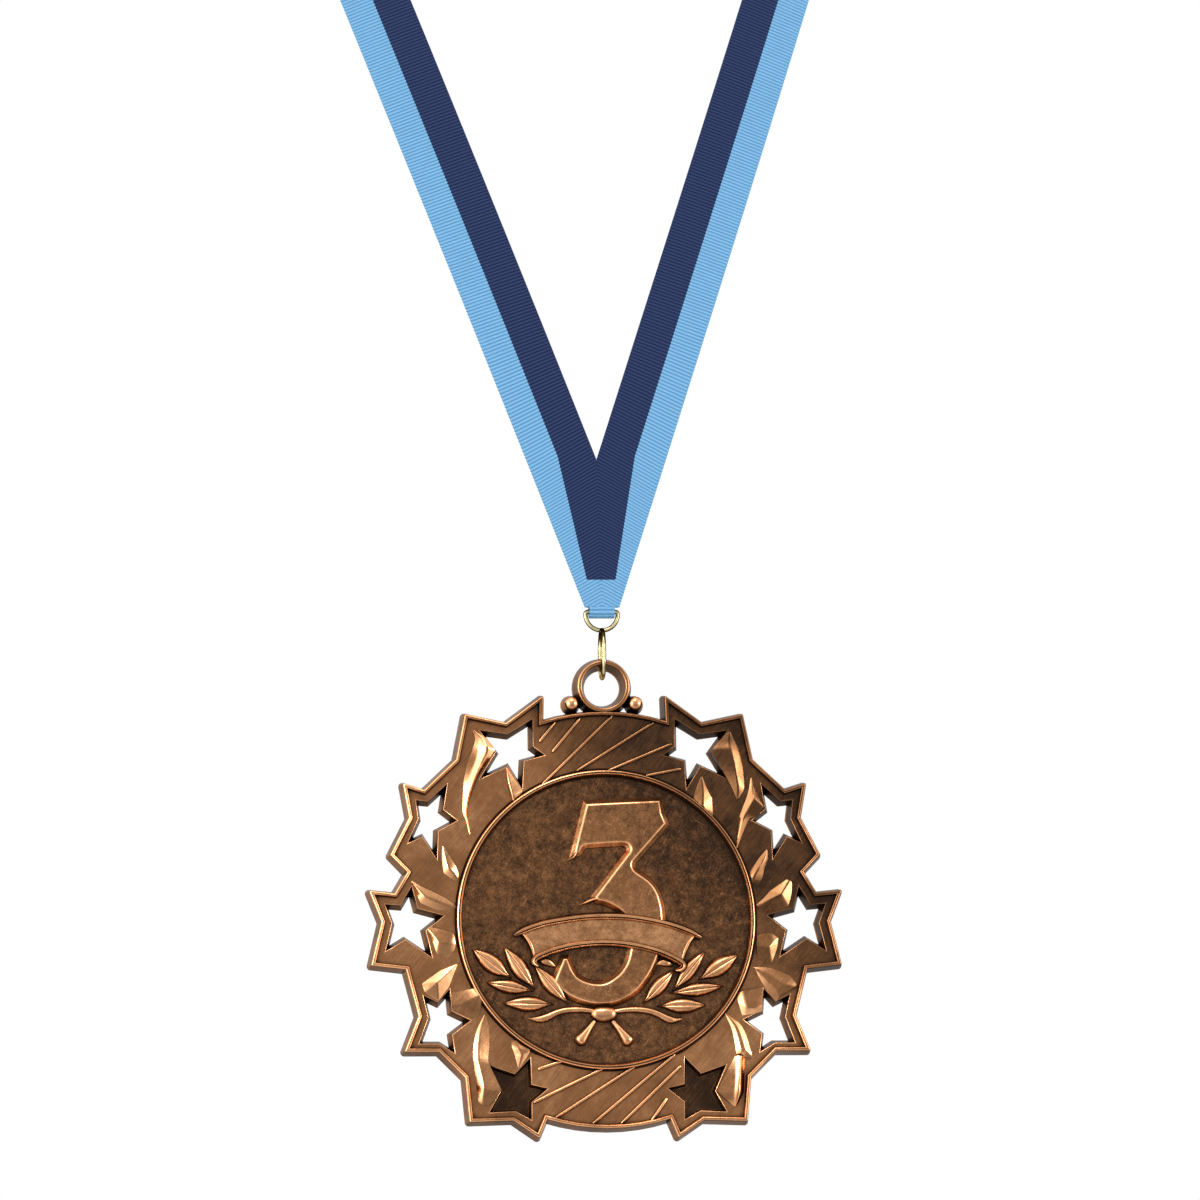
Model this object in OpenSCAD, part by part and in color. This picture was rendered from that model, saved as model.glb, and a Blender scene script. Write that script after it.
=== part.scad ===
// Cast star medal on a two-colour neck ribbon.
// Millimetres, +Z up, the medal's front faces -Y. The origin is where the ribbon rests on the nape.
// The ribbon lies on a cone, as a flat ribbon lies round a neck: laid out flat, the loop is straight.

/* [Neck ribbon] */
// Width of the ribbon
ribbon_w = 10; // [8:0.5:12]
// Thickness of the ribbon's cloth
ribbon_t = 1; // [1:0.1:1.4]
// Length of the whole loop, along its middle
loop_len = 812; // [700:1:900]
// Angle between each front strap and the middle line
strap_angle = 18.6; // [17:0.1:20]
// Lean of the front straps away from upright, as on a chest
chest_lean = 13.2; // [8:0.1:18]
// Distance from the crossing of the straps' middles down to the clip's bar
point_drop = 8.4; // [7.5:0.1:9.5]
// Width of the fold that holds the bar
fold_w = 3.3; // [2.8:0.1:3.4]
// Height of the sewn tab behind the point
tab_h = 12; // [9:0.5:16]

/* [Clip] */
// Diameter of the clip's wire
wire_d = 0.55; // [0.4:0.05:0.7]
// Outer width of the D loop
d_loop_w = 5.4; // [5:0.1:6]
// Drop from the bar's middle to the D loop's outer bottom
d_loop_drop = 3.1; // [2.9:0.1:4]
// Drop from the bar's middle to the link's outer bottom
link_drop = 10.3; // [10:0.1:11]
// Inner width of the link, front to back
link_gap = 4.5; // [4.1:0.1:5]
// Room between the bar and the ribbon's fold, all round
fold_room = 0.18; // [0.12:0.01:0.2]

/* [Medal] */
// Thickness of the casting, from its flat back to its front rim
medal_t = 3.5; // [3:0.1:4]
// Drop from the bar's middle to the middle of the disc
disc_drop = 46.5; // [46:0.1:47]
// Distance that the medal hangs forward of the bar, which brings its weight nearly under it
medal_forward = 0.2; // [0.1:0.01:0.3]
// Radius of the round edge above and below the disc
edge_r = 31.2; // [31:0.1:31.4]
// Width of the raised outline rim
rim_w = 0.55; // [0.4:0.05:0.8]
// Height of the plate over the flat back
plate_h = 2.6; // [2:0.1:2.8]
// Height of the blind stars' floor over the flat back
blind_h = 1.2; // [0.8:0.1:1.6]
// Outer radius of the disc's ring
disc_r = 22.25; // [22:0.05:22.4]
// Width of the disc's ring
disc_rim_w = 0.75; // [0.5:0.05:1]
// Height of the disc's sunk field over the flat back
field_h = 2.1; // [1.6:0.1:2.4]
// Height of the disc's ring over the flat back
disc_rim_h = 3.4; // [3:0.1:3.5]
// Width of the slanting ribs
rib_w = 0.55; // [0.4:0.05:0.7]

/* [Hanging ring] */
// Height of the ring's middle over the disc's middle
ring_up = 35.05; // [35:0.05:35.2]
// Radii of the ring's front edge, outside and inside
ring_front_r = [3.9, 3.3];
// Radii of the ring at its back, outside and inside
ring_back_r = [4.5, 2.65];
// Place of the right bead, from the disc's middle
bead_at = [4.8, 32.5];
// Radius of a bead
bead_r = 1.05; // [0.9:0.05:1.2]

/* [Hidden] */
$fn = 64;
bronze = "peru";
brass = "gold";
eps = 0.01;

// Right half of the outline, from the top arc's end clockwise to the bottom arc's end: [x, z].
// The rows in turn: three upper stars' tips and hollows, then the two lower stars'.
HALF_OUTLINE = [
    [9.2, 33.6], [14.8, 29.5], [20.9, 30.8], [22.3, 24.0], [27.2, 19.4],
    [30.3, 20.4], [29.4, 15.3], [32.3, 9.7], [29.8, 7.1], [31.7, 3.9],
    [35.5, 4.3], [33.7, -0.3], [35.3, -6.8], [30.1, -7.4],
    [28.3, -14.4], [30.4, -19.7], [25.3, -19.7], [21.4, -23.6],
    [20.8, -30.2], [14.3, -30.0], [10.5, -32.6]];
// Half the angle of the round edge at top and bottom
edge_half_angle = 17.35;

// Right half's star cut-outs, a row for each from the top down: tip, hollow, tip and so on, from the
// topmost tip clockwise: [x, z]. The last one is blind.
STARS = [
    [[10.6, 30.4], [14.5, 28.0], [18.9, 28.6], [16.4, 25.2], [19.0, 20.9],
     [14.5, 23.0], [12.3, 19.3], [12.0, 23.8], [8.7, 24.7], [10.6, 26.1]],
    [[23.5, 20.7], [26.6, 17.9], [28.5, 18.1], [28.1, 15.2], [29.9, 11.3],
     [27.5, 12.4], [25.2, 8.8], [25.0, 13.3], [22.0, 14.9], [24.2, 16.6]],
    [[29.1, 5.3], [30.9, 2.3], [33.3, 2.5], [32.2, -0.5], [33.3, -4.9],
     [30.2, -3.0], [26.0, -5.8], [27.0, -1.6], [24.1, 0.7], [28.2, 1.8]],
    [[23.5, -10.1], [25.4, -12.2], [27.7, -11.1], [26.9, -14.6], [28.4, -18.6],
     [25.2, -18.6], [22.8, -20.1], [23.2, -17.2], [20.3, -15.0], [23.2, -13.6]],
    [[11.5, -20.4], [14.0, -23.0], [18.0, -21.6], [16.2, -25.7], [18.0, -28.9],
     [13.9, -28.7], [11.4, -30.1], [11.4, -27.3], [8.8, -25.2], [11.4, -24.6]]];

// Slanting ribs, from the disc's ring outwards: [foot x, foot z, head x, head z]
TOP_RIBS = [
    [-9.2, 26.8, -7.0, 30.2], [-7.7, 25.3, -3.4, 30.8], [-9.5, 20.3, 1.6, 31.0],
    [-4.4, 22.0, 7.7, 30.0], [1.2, 22.3, 10.9, 26.5], [6.9, 21.3, 12.0, 22.4]];
BOTTOM_RIBS = [
    [-10.8, -22.4, -6.8, -21.1], [-11.2, -27.2, -1.0, -22.2], [-7.9, -29.9, 4.3, -21.9],
    [-2.6, -30.8, 9.9, -20.2], [1.9, -30.8, 10.9, -22.2], [6.2, -30.4, 8.5, -26.8]];
rib_h = 3.1;

// Comet-tail ridges of the right half, as flat wedges: [wide end x, z, other wide end x, z, point x, z]
TAILS = [
    [20.2, 28.2, 17.2, 25.2, 20.6, 15.0], [15.2, 20.6, 14.0, 17.9, 16.9, 14.6],
    [24.4, 11.0, 24.6, 7.6, 22.3, 6.6], [28.5, 5.6, 27.6, 2.3, 22.6, 2.0],
    [26.0, -2.4, 25.0, -6.2, 22.6, -3.6], [27.7, -9.6, 25.1, -12.2, 22.4, -6.8],
    [22.4, -12.2, 19.6, -13.9, 20.2, -10.6], [19.6, -20.6, 18.0, -28.0, 18.0, -14.6]];
tail_h = 3.2;

// Leaves of the right spray: [foot x, foot z, tip x, tip z, width]
LEAVES = [
    [14.4, -9.1, 19.8, -4.9, 2.1], [10.7, -10.3, 14.9, -4.5, 2.0], [10.7, -11.0, 17.7, -9.7, 1.6],
    [7.9, -12.9, 15.0, -12.8, 1.9], [6.1, -12.0, 10.5, -7.4, 1.8]];
leaf_h = 3.0;
stem_w = 0.6;
// Route of the right stem, from the knot to its free end: [x, z]
STEM = [[1.4, -13.5], [6.6, -13.3], [9.0, -14.2], [11.2, -14.9]];
knot_size = [3.2, 2.1];
knot_z = -14.05;
// Right tail of the knot: [foot x, foot z, tip x, tip z]
KNOT_TAIL = [1.6, -15.0, 4.0, -18.4];

// The numeral's raised face, clockwise from its top left corner: [x, z]
NUMERAL = [
    [-2.5, 17.1], [8.5, 17.7], [9.0, 14.4], [3.9, 8.7], [3.9, 7.4], [6.7, 5.4], [8.1, 2.8], [8.4, -0.2],
    [8.1, -3.4], [7.2, -6.2], [5.1, -9.1], [2.5, -11.3], [-0.3, -12.1], [-3.9, -11.7], [-6.6, -9.8],
    [-7.7, -9.4], [-6.0, -5.8], [-4.7, -8.8], [-3.0, -9.6], [-0.4, -9.8], [1.8, -8.9], [3.2, -7.2],
    [3.9, -4.8], [3.8, -2.0], [2.6, 1.2], [1.4, 2.3], [0, 3.0], [-1.7, 3.3], [3.4, 9.4], [3.9, 10.6],
    [2.9, 11.8], [-3.1, 11.6], [-3.8, 11.0], [-4.8, 9.1]];
numeral_h = 2.85;

// Banner's two arched edges: [height of the crown, radius, half the width at the ends]
banner_top = [0.7, 31.5, 13.9];
banner_foot = [-3.4, 23.1, 11.2];
banner_h = 3.05;
banner_roll_h = 3.4;
banner_roll_w = 0.75;

// The cone that the ribbon lies on: half its angle, the distances along it from its tip to the point of
// the straps and to the nape, and its tilt, which leaves the front line at the chest's lean
cone_half = asin((180 - 2 * strap_angle) / 360);
tip_to_point = loop_len / (2 * cos(strap_angle));
tip_to_nape = tip_to_point * sin(strap_angle);
cone_tilt = cone_half - chest_lean;

// A spot on the laid-out ribbon: u across the front line, v up it from the straps' point, d proud of it
function on_cone(u, v, d) =
    let (
        reach = norm([u, tip_to_point - v]),
        turn = min(180, atan2(u, tip_to_point - v) / sin(cone_half)),
        out = reach * sin(cone_half) + d * cos(cone_half),
        down = reach * cos(cone_half) - d * sin(cone_half))
    [out * (turn > 179.999 ? 0 : sin(turn)), -out * cos(turn), -down];
function tilted(p) = [
    p[0],
    p[1] * cos(cone_tilt) - p[2] * sin(cone_tilt),
    p[1] * sin(cone_tilt) + p[2] * cos(cone_tilt)];
// The middle of the loop's inner face at the nape, which is the origin
half_loop = loop_len / 2;
nape = tilted(on_cone(half_loop * sin(strap_angle), half_loop * cos(strap_angle), -ribbon_t / 2));

// Middle of the clip's bar. The fold's front wall carries on the front straps, one wall before the bar
fold_in_r = wire_d / 2 + fold_room;
fold_out_r = fold_in_r + ribbon_t;
wall_mid = fold_in_r + ribbon_t / 2;
straps_point = tilted(on_cone(0, 0, 0)) - nape;
up_strap = [0, sin(chest_lean), cos(chest_lean)];
out_of_strap = [0, -cos(chest_lean), sin(chest_lean)];
bar_at = straps_point - point_drop * up_strap - wall_mid * out_of_strap;
echo(bar_at = bar_at, straps_point = straps_point, nape = nape);

// Sections of the right half, [outer u, outer v, inner u, inner v]: first the point, whose inner edge is
// the seam on the middle line, then the strap as far as the nape
wide_part_up = 0.4;
point_start = -point_drop + wide_part_up;
crotch_s = ribbon_w / 2 / tan(strap_angle);
start_s = (point_start + ribbon_w / 2 * sin(strap_angle)) / cos(strap_angle);
crotch_v = crotch_s * cos(strap_angle) + ribbon_w / 2 * sin(strap_angle);
point_steps = 3;
strap_steps = 56;
function edge_u(s, side) = s * sin(strap_angle) + side * ribbon_w / 2 * cos(strap_angle);
function edge_v(s, side) = s * cos(strap_angle) - side * ribbon_w / 2 * sin(strap_angle);
SECTIONS = concat(
    [for (i = [0:point_steps])
        let (f = i / point_steps, s = start_s + (crotch_s - start_s) * f)
        [edge_u(s, 1), edge_v(s, 1), 0, point_start + (crotch_v - point_start) * f]],
    [for (i = [1:strap_steps])
        let (s = crotch_s + (half_loop - crotch_s) * i / strap_steps)
        [edge_u(s, 1), edge_v(s, 1), edge_u(s, -1), edge_v(s, -1)]]);

module half_ribbon() {
    t = ribbon_t / 2;
    spots = [for (s = SECTIONS) for (c = [[0, t], [2, t], [2, -t], [0, -t]])
        on_cone(s[c[0]], s[c[0] + 1], c[1])];
    last = 4 * (len(SECTIONS) - 1);
    sides = [for (i = [0:4:last - 1]) for (k = [0:3]) let (a = i + k, b = i + (k + 1) % 4)
        each [[a, b, a + 4], [b, b + 4, a + 4]]];
    ends = [[0, 2, 1], [0, 3, 2], [last, last + 1, last + 2], [last, last + 2, last + 3]];
    polyhedron(points = spots, faces = concat(sides, ends), convexity = 4);
}

// Side view of the fold: round under the bar, up the front wall, and back up into the sewn tab
module fold_profile() {
    sewn_from = 4;
    tongue = 2;
    bite = ribbon_t / 5;
    front = -fold_in_r;
    difference() {
        circle(fold_out_r);
        circle(fold_in_r);
        translate([-2 * fold_out_r, 0]) square([4 * fold_out_r, 2 * fold_out_r]);
    }
    translate([-fold_out_r, -eps]) square([ribbon_t, wide_part_up + 3 * eps]);
    translate([bite - fold_out_r, 0]) square([ribbon_t - 2 * bite, tongue]);
    polygon([[fold_in_r, -eps], [fold_out_r, -eps], [ribbon_t + front, sewn_from], [ribbon_t + front, tab_h],
        [front - bite, tab_h], [front - bite, sewn_from]]);
}

module neck_ribbon() color("lightskyblue") {
    translate(-nape) rotate([cone_tilt, 0, 0]) {
        half_ribbon();
        mirror([1, 0, 0]) half_ribbon();
    }
    translate(bar_at) rotate([-chest_lean, 0, 0]) translate([-fold_w / 2, 0, 0])
        rotate([90, 0, 90]) linear_extrude(fold_w) fold_profile();
}

// A straight wire between two places in the YZ or XZ plane through the bar
module wire(from, to) {
    way = to - from;
    translate(from) rotate([0, acos(way[2] / norm(way)), atan2(way[1], way[0])])
        cylinder(h = norm(way), d = wire_d, $fn = 24);
}

// Half a hoop of wire hanging down from the XY plane
module half_hoop(r) {
    rotate([-90, 0, 0]) rotate_extrude(angle = 180) translate([r, 0]) circle(d = wire_d, $fn = 24);
}

module ribbon_clip() color(brass) translate(bar_at) {
    loop_r = (d_loop_w - wire_d) / 2;
    loop_z = loop_r + wire_d / 2 - d_loop_drop;
    link_r = (link_gap + wire_d) / 2;
    link_foot = link_r + wire_d / 2 - link_drop;
    link_head = -d_loop_drop + wire_d / 2 - link_r;
    wire([-loop_r, 0, 0], [loop_r, 0, 0]);
    for (side = [-1, 1]) {
        translate([side * loop_r, 0, 0]) sphere(d = wire_d, $fn = 24);
        wire([side * loop_r, 0, loop_z], [side * loop_r, 0, 0]);
        wire([0, side * link_r, link_foot], [0, side * link_r, link_head]);
    }
    translate([0, 0, loop_z]) half_hoop(loop_r);
    rotate([0, 0, 90]) {
        translate([0, 0, link_foot]) half_hoop(link_r);
        translate([0, 0, link_head]) mirror([0, 0, 1]) half_hoop(link_r);
    }
}

// Raises a drawing of the medal's front between two heights over its flat back
module relief(from, to) {
    translate([0, medal_t / 2 - from, 0]) rotate([90, 0, 0]) linear_extrude(to - from) children();
}

function arc(r, from, to, steps) = [for (i = [0:steps])
    let (a = from + (to - from) * i / steps) r * [cos(a), sin(a)]];
function mirrored(p) = [for (i = [len(p) - 1:-1:0]) [-p[i][0], p[i][1]]];
OUTLINE = concat(
    arc(edge_r, 90, 90 - edge_half_angle, 4), HALF_OUTLINE,
    arc(edge_r, edge_half_angle - 90, -90 - edge_half_angle, 8), mirrored(HALF_OUTLINE),
    [for (i = [0:3]) arc(edge_r, 90 + edge_half_angle, 90, 4)[i]]);

// A clockwise outline with every side moved in by d
function unit(v) = v / norm(v);
function inset(p, d) = [for (i = [0:len(p) - 1])
    let (
        n = len(p),
        e = unit(p[i] - p[(i + n - 1) % n]),
        f = unit(p[(i + 1) % n] - p[i]),
        turn = 1 + e * f)
    p[i] + d * [e[1] + f[1], -e[0] - f[0]] / turn];

// A bar with square ends between two points of the front
module bar(from, to, w) {
    way = to - from;
    translate(from) rotate(atan2(way[1], way[0])) translate([0, -w / 2]) square([norm(way), w]);
}

// A leaf: the overlap of two equal discs
module leaf(from, to, w) {
    way = to - from;
    long = norm(way);
    r = (long * long + w * w) / (4 * w);
    translate((from + to) / 2) rotate(atan2(way[1], way[0])) intersection() {
        translate([0, r - w / 2]) circle(r);
        translate([0, w / 2 - r]) circle(r);
    }
}

// A strip along an arch that hangs from its crown
module arch(crown, r, half_w, w) {
    intersection() {
        translate([0, crown - r]) difference() {
            circle(r + w / 2, $fn = 180);
            circle(r - w / 2, $fn = 180);
        }
        translate([-half_w, crown - r]) square([2 * half_w, 2 * r]);
    }
}

module banner() {
    top_half_w = banner_top[2];
    foot_half_w = banner_foot[2];
    side = [[top_half_w, 2], [top_half_w, -1.8], [foot_half_w, -6.2]];
    relief(field_h - eps, banner_h) difference() {
        intersection() {
            translate([0, banner_top[0] - banner_top[1]]) circle(banner_top[1], $fn = 180);
            polygon(concat(side, mirrored(side)));
        }
        translate([0, banner_foot[0] - banner_foot[1]]) circle(banner_foot[1], $fn = 180);
    }
    for (e = [banner_top, banner_foot])
        relief(field_h - eps, banner_roll_h) arch(e[0], e[1], e[2], banner_roll_w);
}

module both_sides() {
    children();
    mirror([1, 0, 0]) children();
}

module spray() {
    relief(field_h - eps, leaf_h) {
        for (row = LEAVES) leaf([row[0], row[1]], [row[2], row[3]], row[4]);
        for (i = [0:len(STEM) - 2]) bar(STEM[i], STEM[i + 1], stem_w);
        polygon([[KNOT_TAIL[0], KNOT_TAIL[1]], [KNOT_TAIL[2] + 0.9, KNOT_TAIL[3]],
            [KNOT_TAIL[2] - 0.9, KNOT_TAIL[3]]]);
    }
}

module hanging_ring() {
    back = medal_t / 2;
    rotate([90, 0, 0]) rotate_extrude() polygon([
        [ring_back_r[1], -back], [ring_back_r[0], -back], [ring_front_r[0], back], [ring_front_r[1], back]]);
}

module bead() {
    rotate([90, 0, 0]) translate([0, 0, -medal_t / 2]) {
        cylinder(h = medal_t - bead_r, r1 = bead_r + 0.3, r2 = bead_r);
        translate([0, 0, medal_t - bead_r]) sphere(bead_r);
    }
}

module star_medal() color(bronze) translate(bar_at - [0, medal_forward, disc_drop]) {
    difference() {
        union() {
            relief(0, plate_h) polygon(OUTLINE);
            relief(plate_h - eps, medal_t) difference() {
                polygon(OUTLINE);
                polygon(inset(OUTLINE, rim_w));
            }
            relief(plate_h - eps, disc_rim_h) circle(disc_r, $fn = 180);
            relief(plate_h - eps, rib_h)
                for (row = concat(TOP_RIBS, BOTTOM_RIBS)) bar([row[0], row[1]], [row[2], row[3]], rib_w);
            both_sides() relief(plate_h - eps, tail_h)
                for (row = TAILS) polygon([[row[0], row[1]], [row[2], row[3]], [row[4], row[5]]]);
            both_sides() translate([bead_at[0], 0, bead_at[1]]) bead();
            translate([0, 0, ring_up]) hanging_ring();
        }
        relief(field_h, medal_t + 1) circle(disc_r - disc_rim_w, $fn = 180);
        both_sides() {
            for (i = [0:3]) relief(-1, medal_t + 1) polygon(STARS[i]);
            relief(blind_h, medal_t + 1) polygon(STARS[4]);
        }
        translate([0, 0, ring_up]) rotate([90, 0, 0]) translate([0, 0, -medal_t / 2])
            cylinder(h = medal_t, r1 = ring_back_r[1], r2 = ring_front_r[1]);
    }
    relief(field_h - eps, numeral_h) polygon(NUMERAL);
    banner();
    both_sides() spray();
    relief(field_h - eps, leaf_h + 0.2)
        translate([-knot_size[0] / 2, knot_z - knot_size[1] / 2]) square(knot_size);
}

star_medal();
ribbon_clip();
neck_ribbon();
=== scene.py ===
# %% [markdown]
# # A star medal on its neck ribbon
# The object is a cast, bronze-finished medal with ten stars round a disc, hung by a bent wire clip from a
# two-colour grosgrain ribbon. The CAD model gives every size and place. This lesson gives it its looks:
# each piece is modelled in the CAD frame, in metres, and then gets its finish.

# %% The fixed frame
import math
from contextlib import contextmanager

import bmesh
import bpy
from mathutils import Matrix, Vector


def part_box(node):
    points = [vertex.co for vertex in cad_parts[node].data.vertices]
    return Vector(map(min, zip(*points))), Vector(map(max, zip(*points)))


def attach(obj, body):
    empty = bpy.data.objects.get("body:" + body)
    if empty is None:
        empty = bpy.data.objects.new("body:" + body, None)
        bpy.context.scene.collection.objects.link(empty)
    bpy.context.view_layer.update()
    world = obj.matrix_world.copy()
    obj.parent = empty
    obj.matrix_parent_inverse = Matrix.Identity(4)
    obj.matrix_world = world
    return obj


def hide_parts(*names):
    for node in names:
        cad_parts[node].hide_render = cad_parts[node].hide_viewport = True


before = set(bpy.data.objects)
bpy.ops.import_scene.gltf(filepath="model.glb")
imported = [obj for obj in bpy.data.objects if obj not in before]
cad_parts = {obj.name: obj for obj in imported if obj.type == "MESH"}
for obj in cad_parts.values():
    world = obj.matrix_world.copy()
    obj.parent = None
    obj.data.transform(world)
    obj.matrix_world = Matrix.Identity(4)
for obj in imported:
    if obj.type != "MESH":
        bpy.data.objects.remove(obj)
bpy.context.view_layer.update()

# %% [markdown]
# ## Places and the camera
# Three places of the CAD model steer everything: the middle of the clip's bar, the middle of the disc on the
# medal's flat back, and the height over that back. A long lens far away flattens the view, as product
# photographs do, so the camera stands 1.5 m off. It is a little to the left of the medal and below it.

# %% Places in millimetres
MM = 0.001
CLIP_BAR = Vector((0, -173.8843, -311.2921))
DISC_BACK = Vector((0, -172.3343, -357.7921))


def at(x, z, height):
    """A spot of the medal: right of and above the disc's middle, and forward of the flat back, in mm."""
    return (DISC_BACK + Vector((x, -height, z))) * MM


medal_low, medal_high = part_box("star_medal")
print("flat back off by", round(abs(medal_high.y - DISC_BACK.y * MM) * 1e6, 1), "um")

# %% The camera
CAMERA_AZIMUTH = math.radians(-6.5)
CAMERA_ELEVATION = math.radians(-7.0)
CAMERA_ROLL = math.radians(-0.7)
CAMERA_DISTANCE = 1.5
aim = at(-0.43, 48.05, 3.5)
away = Vector((
    math.sin(CAMERA_AZIMUTH) * math.cos(CAMERA_ELEVATION),
    -math.cos(CAMERA_AZIMUTH) * math.cos(CAMERA_ELEVATION),
    math.sin(CAMERA_ELEVATION)))
bpy.ops.object.camera_add(location=aim + away * CAMERA_DISTANCE)
camera = bpy.context.object
camera.data.lens = 300
camera.data.sensor_width = 36
camera.data.clip_start = 0.05
camera.rotation_euler = away.to_track_quat("Z", "Y").to_euler()
camera.rotation_euler.rotate_axis("Z", CAMERA_ROLL)
bpy.context.scene.camera = camera
print("the camera is", round((camera.location - aim).length, 3), "m from the middle of the picture")

# %% [markdown]
# ## Writing light and finishes
# The light of a studio and the finish of a piece are small webs of nodes. Writing a web as sums keeps it
# readable: a `Tone` wraps one output of a node, and adding or multiplying tones adds the Math nodes. Every
# other kind of node comes from one method.

# %% Tones, webs and finishes


class Tone:
    """A number, colour or vector that varies from spot to spot."""

    def __init__(self, web, socket):
        self.web, self.socket = web, socket

    def math(self, operation, *others):
        return self.web.math(operation, self, *others)

    def __add__(self, other):
        return self.math("ADD", other)

    __radd__ = __add__

    def __mul__(self, other):
        return self.math("MULTIPLY", other)

    __rmul__ = __mul__

    def __sub__(self, other):
        return self.math("SUBTRACT", other)

    def __rsub__(self, other):
        return self.web.math("SUBTRACT", other, self)

    def __pow__(self, other):
        return self.math("POWER", other)

    def most(self, other):
        return self.math("MAXIMUM", other)

    def spread(self, low, high, to_low=0.0, to_high=1.0):
        """Runs smoothly from one value to another while this tone goes from low to high."""
        return self.web.node("MapRange", {"interpolation_type": "SMOOTHSTEP"}, {
            "Value": self, "From Min": low, "From Max": high, "To Min": to_low, "To Max": to_high})

    def part(self, output):
        """Another output of the node that this tone comes from."""
        return Tone(self.web, self.socket.node.outputs[output])


class Web:
    """A web of nodes under construction."""

    def __init__(self, tree):
        self.tree = tree

    def node(self, kind, settings=(), inputs=(), output=0):
        node = self.tree.nodes.new("ShaderNode" + kind)
        for name, value in dict(settings).items():
            setattr(node, name, value)
        for key, value in dict(inputs).items():
            if isinstance(value, Tone):
                self.tree.links.new(value.socket, node.inputs[key])
            else:
                node.inputs[key].default_value = value
        return Tone(self, node.outputs[output])

    def math(self, operation, *values):
        return self.node("Math", {"operation": operation}, dict(enumerate(values)))

    def blend(self, mask, first, second):
        """A number between two numbers."""
        return self.node("Mix", {"data_type": "FLOAT"}, {0: mask, 2: first, 3: second})

    def mix(self, mask, first, second):
        """A colour between two colours."""
        return self.node("Mix", {"data_type": "RGBA"}, {0: mask, 6: first, 7: second}, output=2)

    def noise(self, place, scale, detail, roughness):
        return self.node("TexNoise", (), {
            "Vector": place, "Scale": scale, "Detail": detail, "Roughness": roughness})

    def bump(self, height, strength, depth, **under):
        """A bumpy normal, with its depth in mm."""
        inputs = {"Strength": strength, "Distance": depth * MM, "Height": height, **under}
        return self.node("Bump", (), inputs)

    def in_millimetres(self, **settings):
        """Each spot's place on its piece, in mm."""
        place = self.node("TexCoord", output="Object")
        return self.node("Mapping", (), {"Vector": place, "Scale": (1 / MM, 1 / MM, 1 / MM), **settings})


class Finish(Web):
    """The web of one material."""

    def __init__(self, name, **constants):
        self.material = bpy.data.materials.new(name)
        self.material.use_nodes = True
        super().__init__(self.material.node_tree)
        self.shader = self.tree.nodes["Principled BSDF"]
        for socket, value in constants.items():
            self.shader.inputs[socket.replace("_", " ").title().replace("Ior", "IOR")].default_value = value

    def feed(self, socket, tone):
        self.tree.links.new(tone.socket, self.shader.inputs[socket])

    def put_on(self, piece):
        piece.data.materials.clear()
        piece.data.materials.append(self.material)


# %% [markdown]
# ## The studio
# Polished metal shows its surroundings, so the studio decides how the relief reads. Small metal goods are
# photographed in a white tent with the dim room behind the camera and a dark table below. Faces that look
# straight at the camera mirror the dim room and come out brown. Faces tilted to the left, the right or up
# mirror the white walls and shine, and faces tilted down stay dark. The far end, the ceiling and the right
# wall are dimmer than the left wall. Only mirroring faces see all this: matt cloth gets one even daylight,
# and the camera sees a white backdrop. Three lamps add soft light from the left, the right and above, and
# the pale floor is kept out of the metal's reflections.

# %% The white tent
BACKDROP = (1.0, 1.0, 1.0, 1.0)
DAYLIGHT = 0.42
ROOM_EDGE = 0.90
WALL_GLOW, ROOM_GLOW = 4.2, 0.65
TABLE_GLOW, FAR_END_GLOW, CEILING_GLOW, RIGHT_WALL_GLOW = 0.26, 0.28, 0.5, 0.6
world = bpy.data.worlds.new("white_tent")
world.use_nodes = True
bpy.context.scene.world = world
world.node_tree.nodes.clear()
tent = Web(world.node_tree)
to_right = tent.node("SeparateXYZ", (), {0: tent.node("TexCoord", output="Generated")})
to_camera, upward = to_right.part("Y") * -1.0, to_right.part("Z")
walls = to_camera.spread(0.30, ROOM_EDGE, WALL_GLOW, ROOM_GLOW) * upward.spread(-0.75, 0.0, TABLE_GLOW, 1.0)
far_end = to_camera.spread(-0.75, -0.2, FAR_END_GLOW, 1.0)
ceiling = upward.spread(0.25, 0.8, 1.0, CEILING_GLOW)
right_wall = to_right.spread(-0.1, 0.6, 1.0, RIGHT_WALL_GLOW)
rays = tent.node("LightPath")
strength = tent.blend(rays.part("Is Diffuse Ray"), walls * far_end * ceiling * right_wall, DAYLIGHT)
strength = tent.blend(rays.part("Is Camera Ray"), strength, 1.0)
background = tent.node("Background", (), {"Color": BACKDROP, "Strength": strength})
tent.tree.links.new(background.socket, tent.tree.nodes.new("ShaderNodeOutputWorld").inputs[0])
view = bpy.context.scene.view_settings
view.view_transform = "Standard"
view.look = "None"
print("the tent is dimmest within", round(math.degrees(math.acos(ROOM_EDGE))), "degrees of the camera")

# %% Lamps
LAMP_SIZE = 0.35
LAMPS = {
    "left_lamp": ((-0.9, -0.75, -0.25), 4.0),
    "right_lamp": ((0.85, -0.75, -0.25), 5.0),
    "top_lamp": ((-0.1, -0.75, 0.45), 3.0)}
for name, (place, watts) in LAMPS.items():
    bpy.ops.object.light_add(type="AREA", location=place)
    lamp = bpy.context.object
    lamp.name = lamp.data.name = name
    lamp.data.size = LAMP_SIZE
    lamp.data.energy = watts
    lamp.rotation_euler = (Vector(place) - at(0, 0, 0)).to_track_quat("Z", "Y").to_euler()
print("lamps:", list(LAMPS))

# %% The floor
FLOOR_BELOW_MEDAL = 0.21
bpy.ops.mesh.primitive_plane_add(size=6, location=(0, 0, medal_low.z - FLOOR_BELOW_MEDAL))
floor = bpy.context.object
floor.name = "floor"
floor.visible_glossy = False
Finish("pale_paper", base_color=(0.85, 0.85, 0.84, 1), roughness=0.9).put_on(floor)

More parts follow.
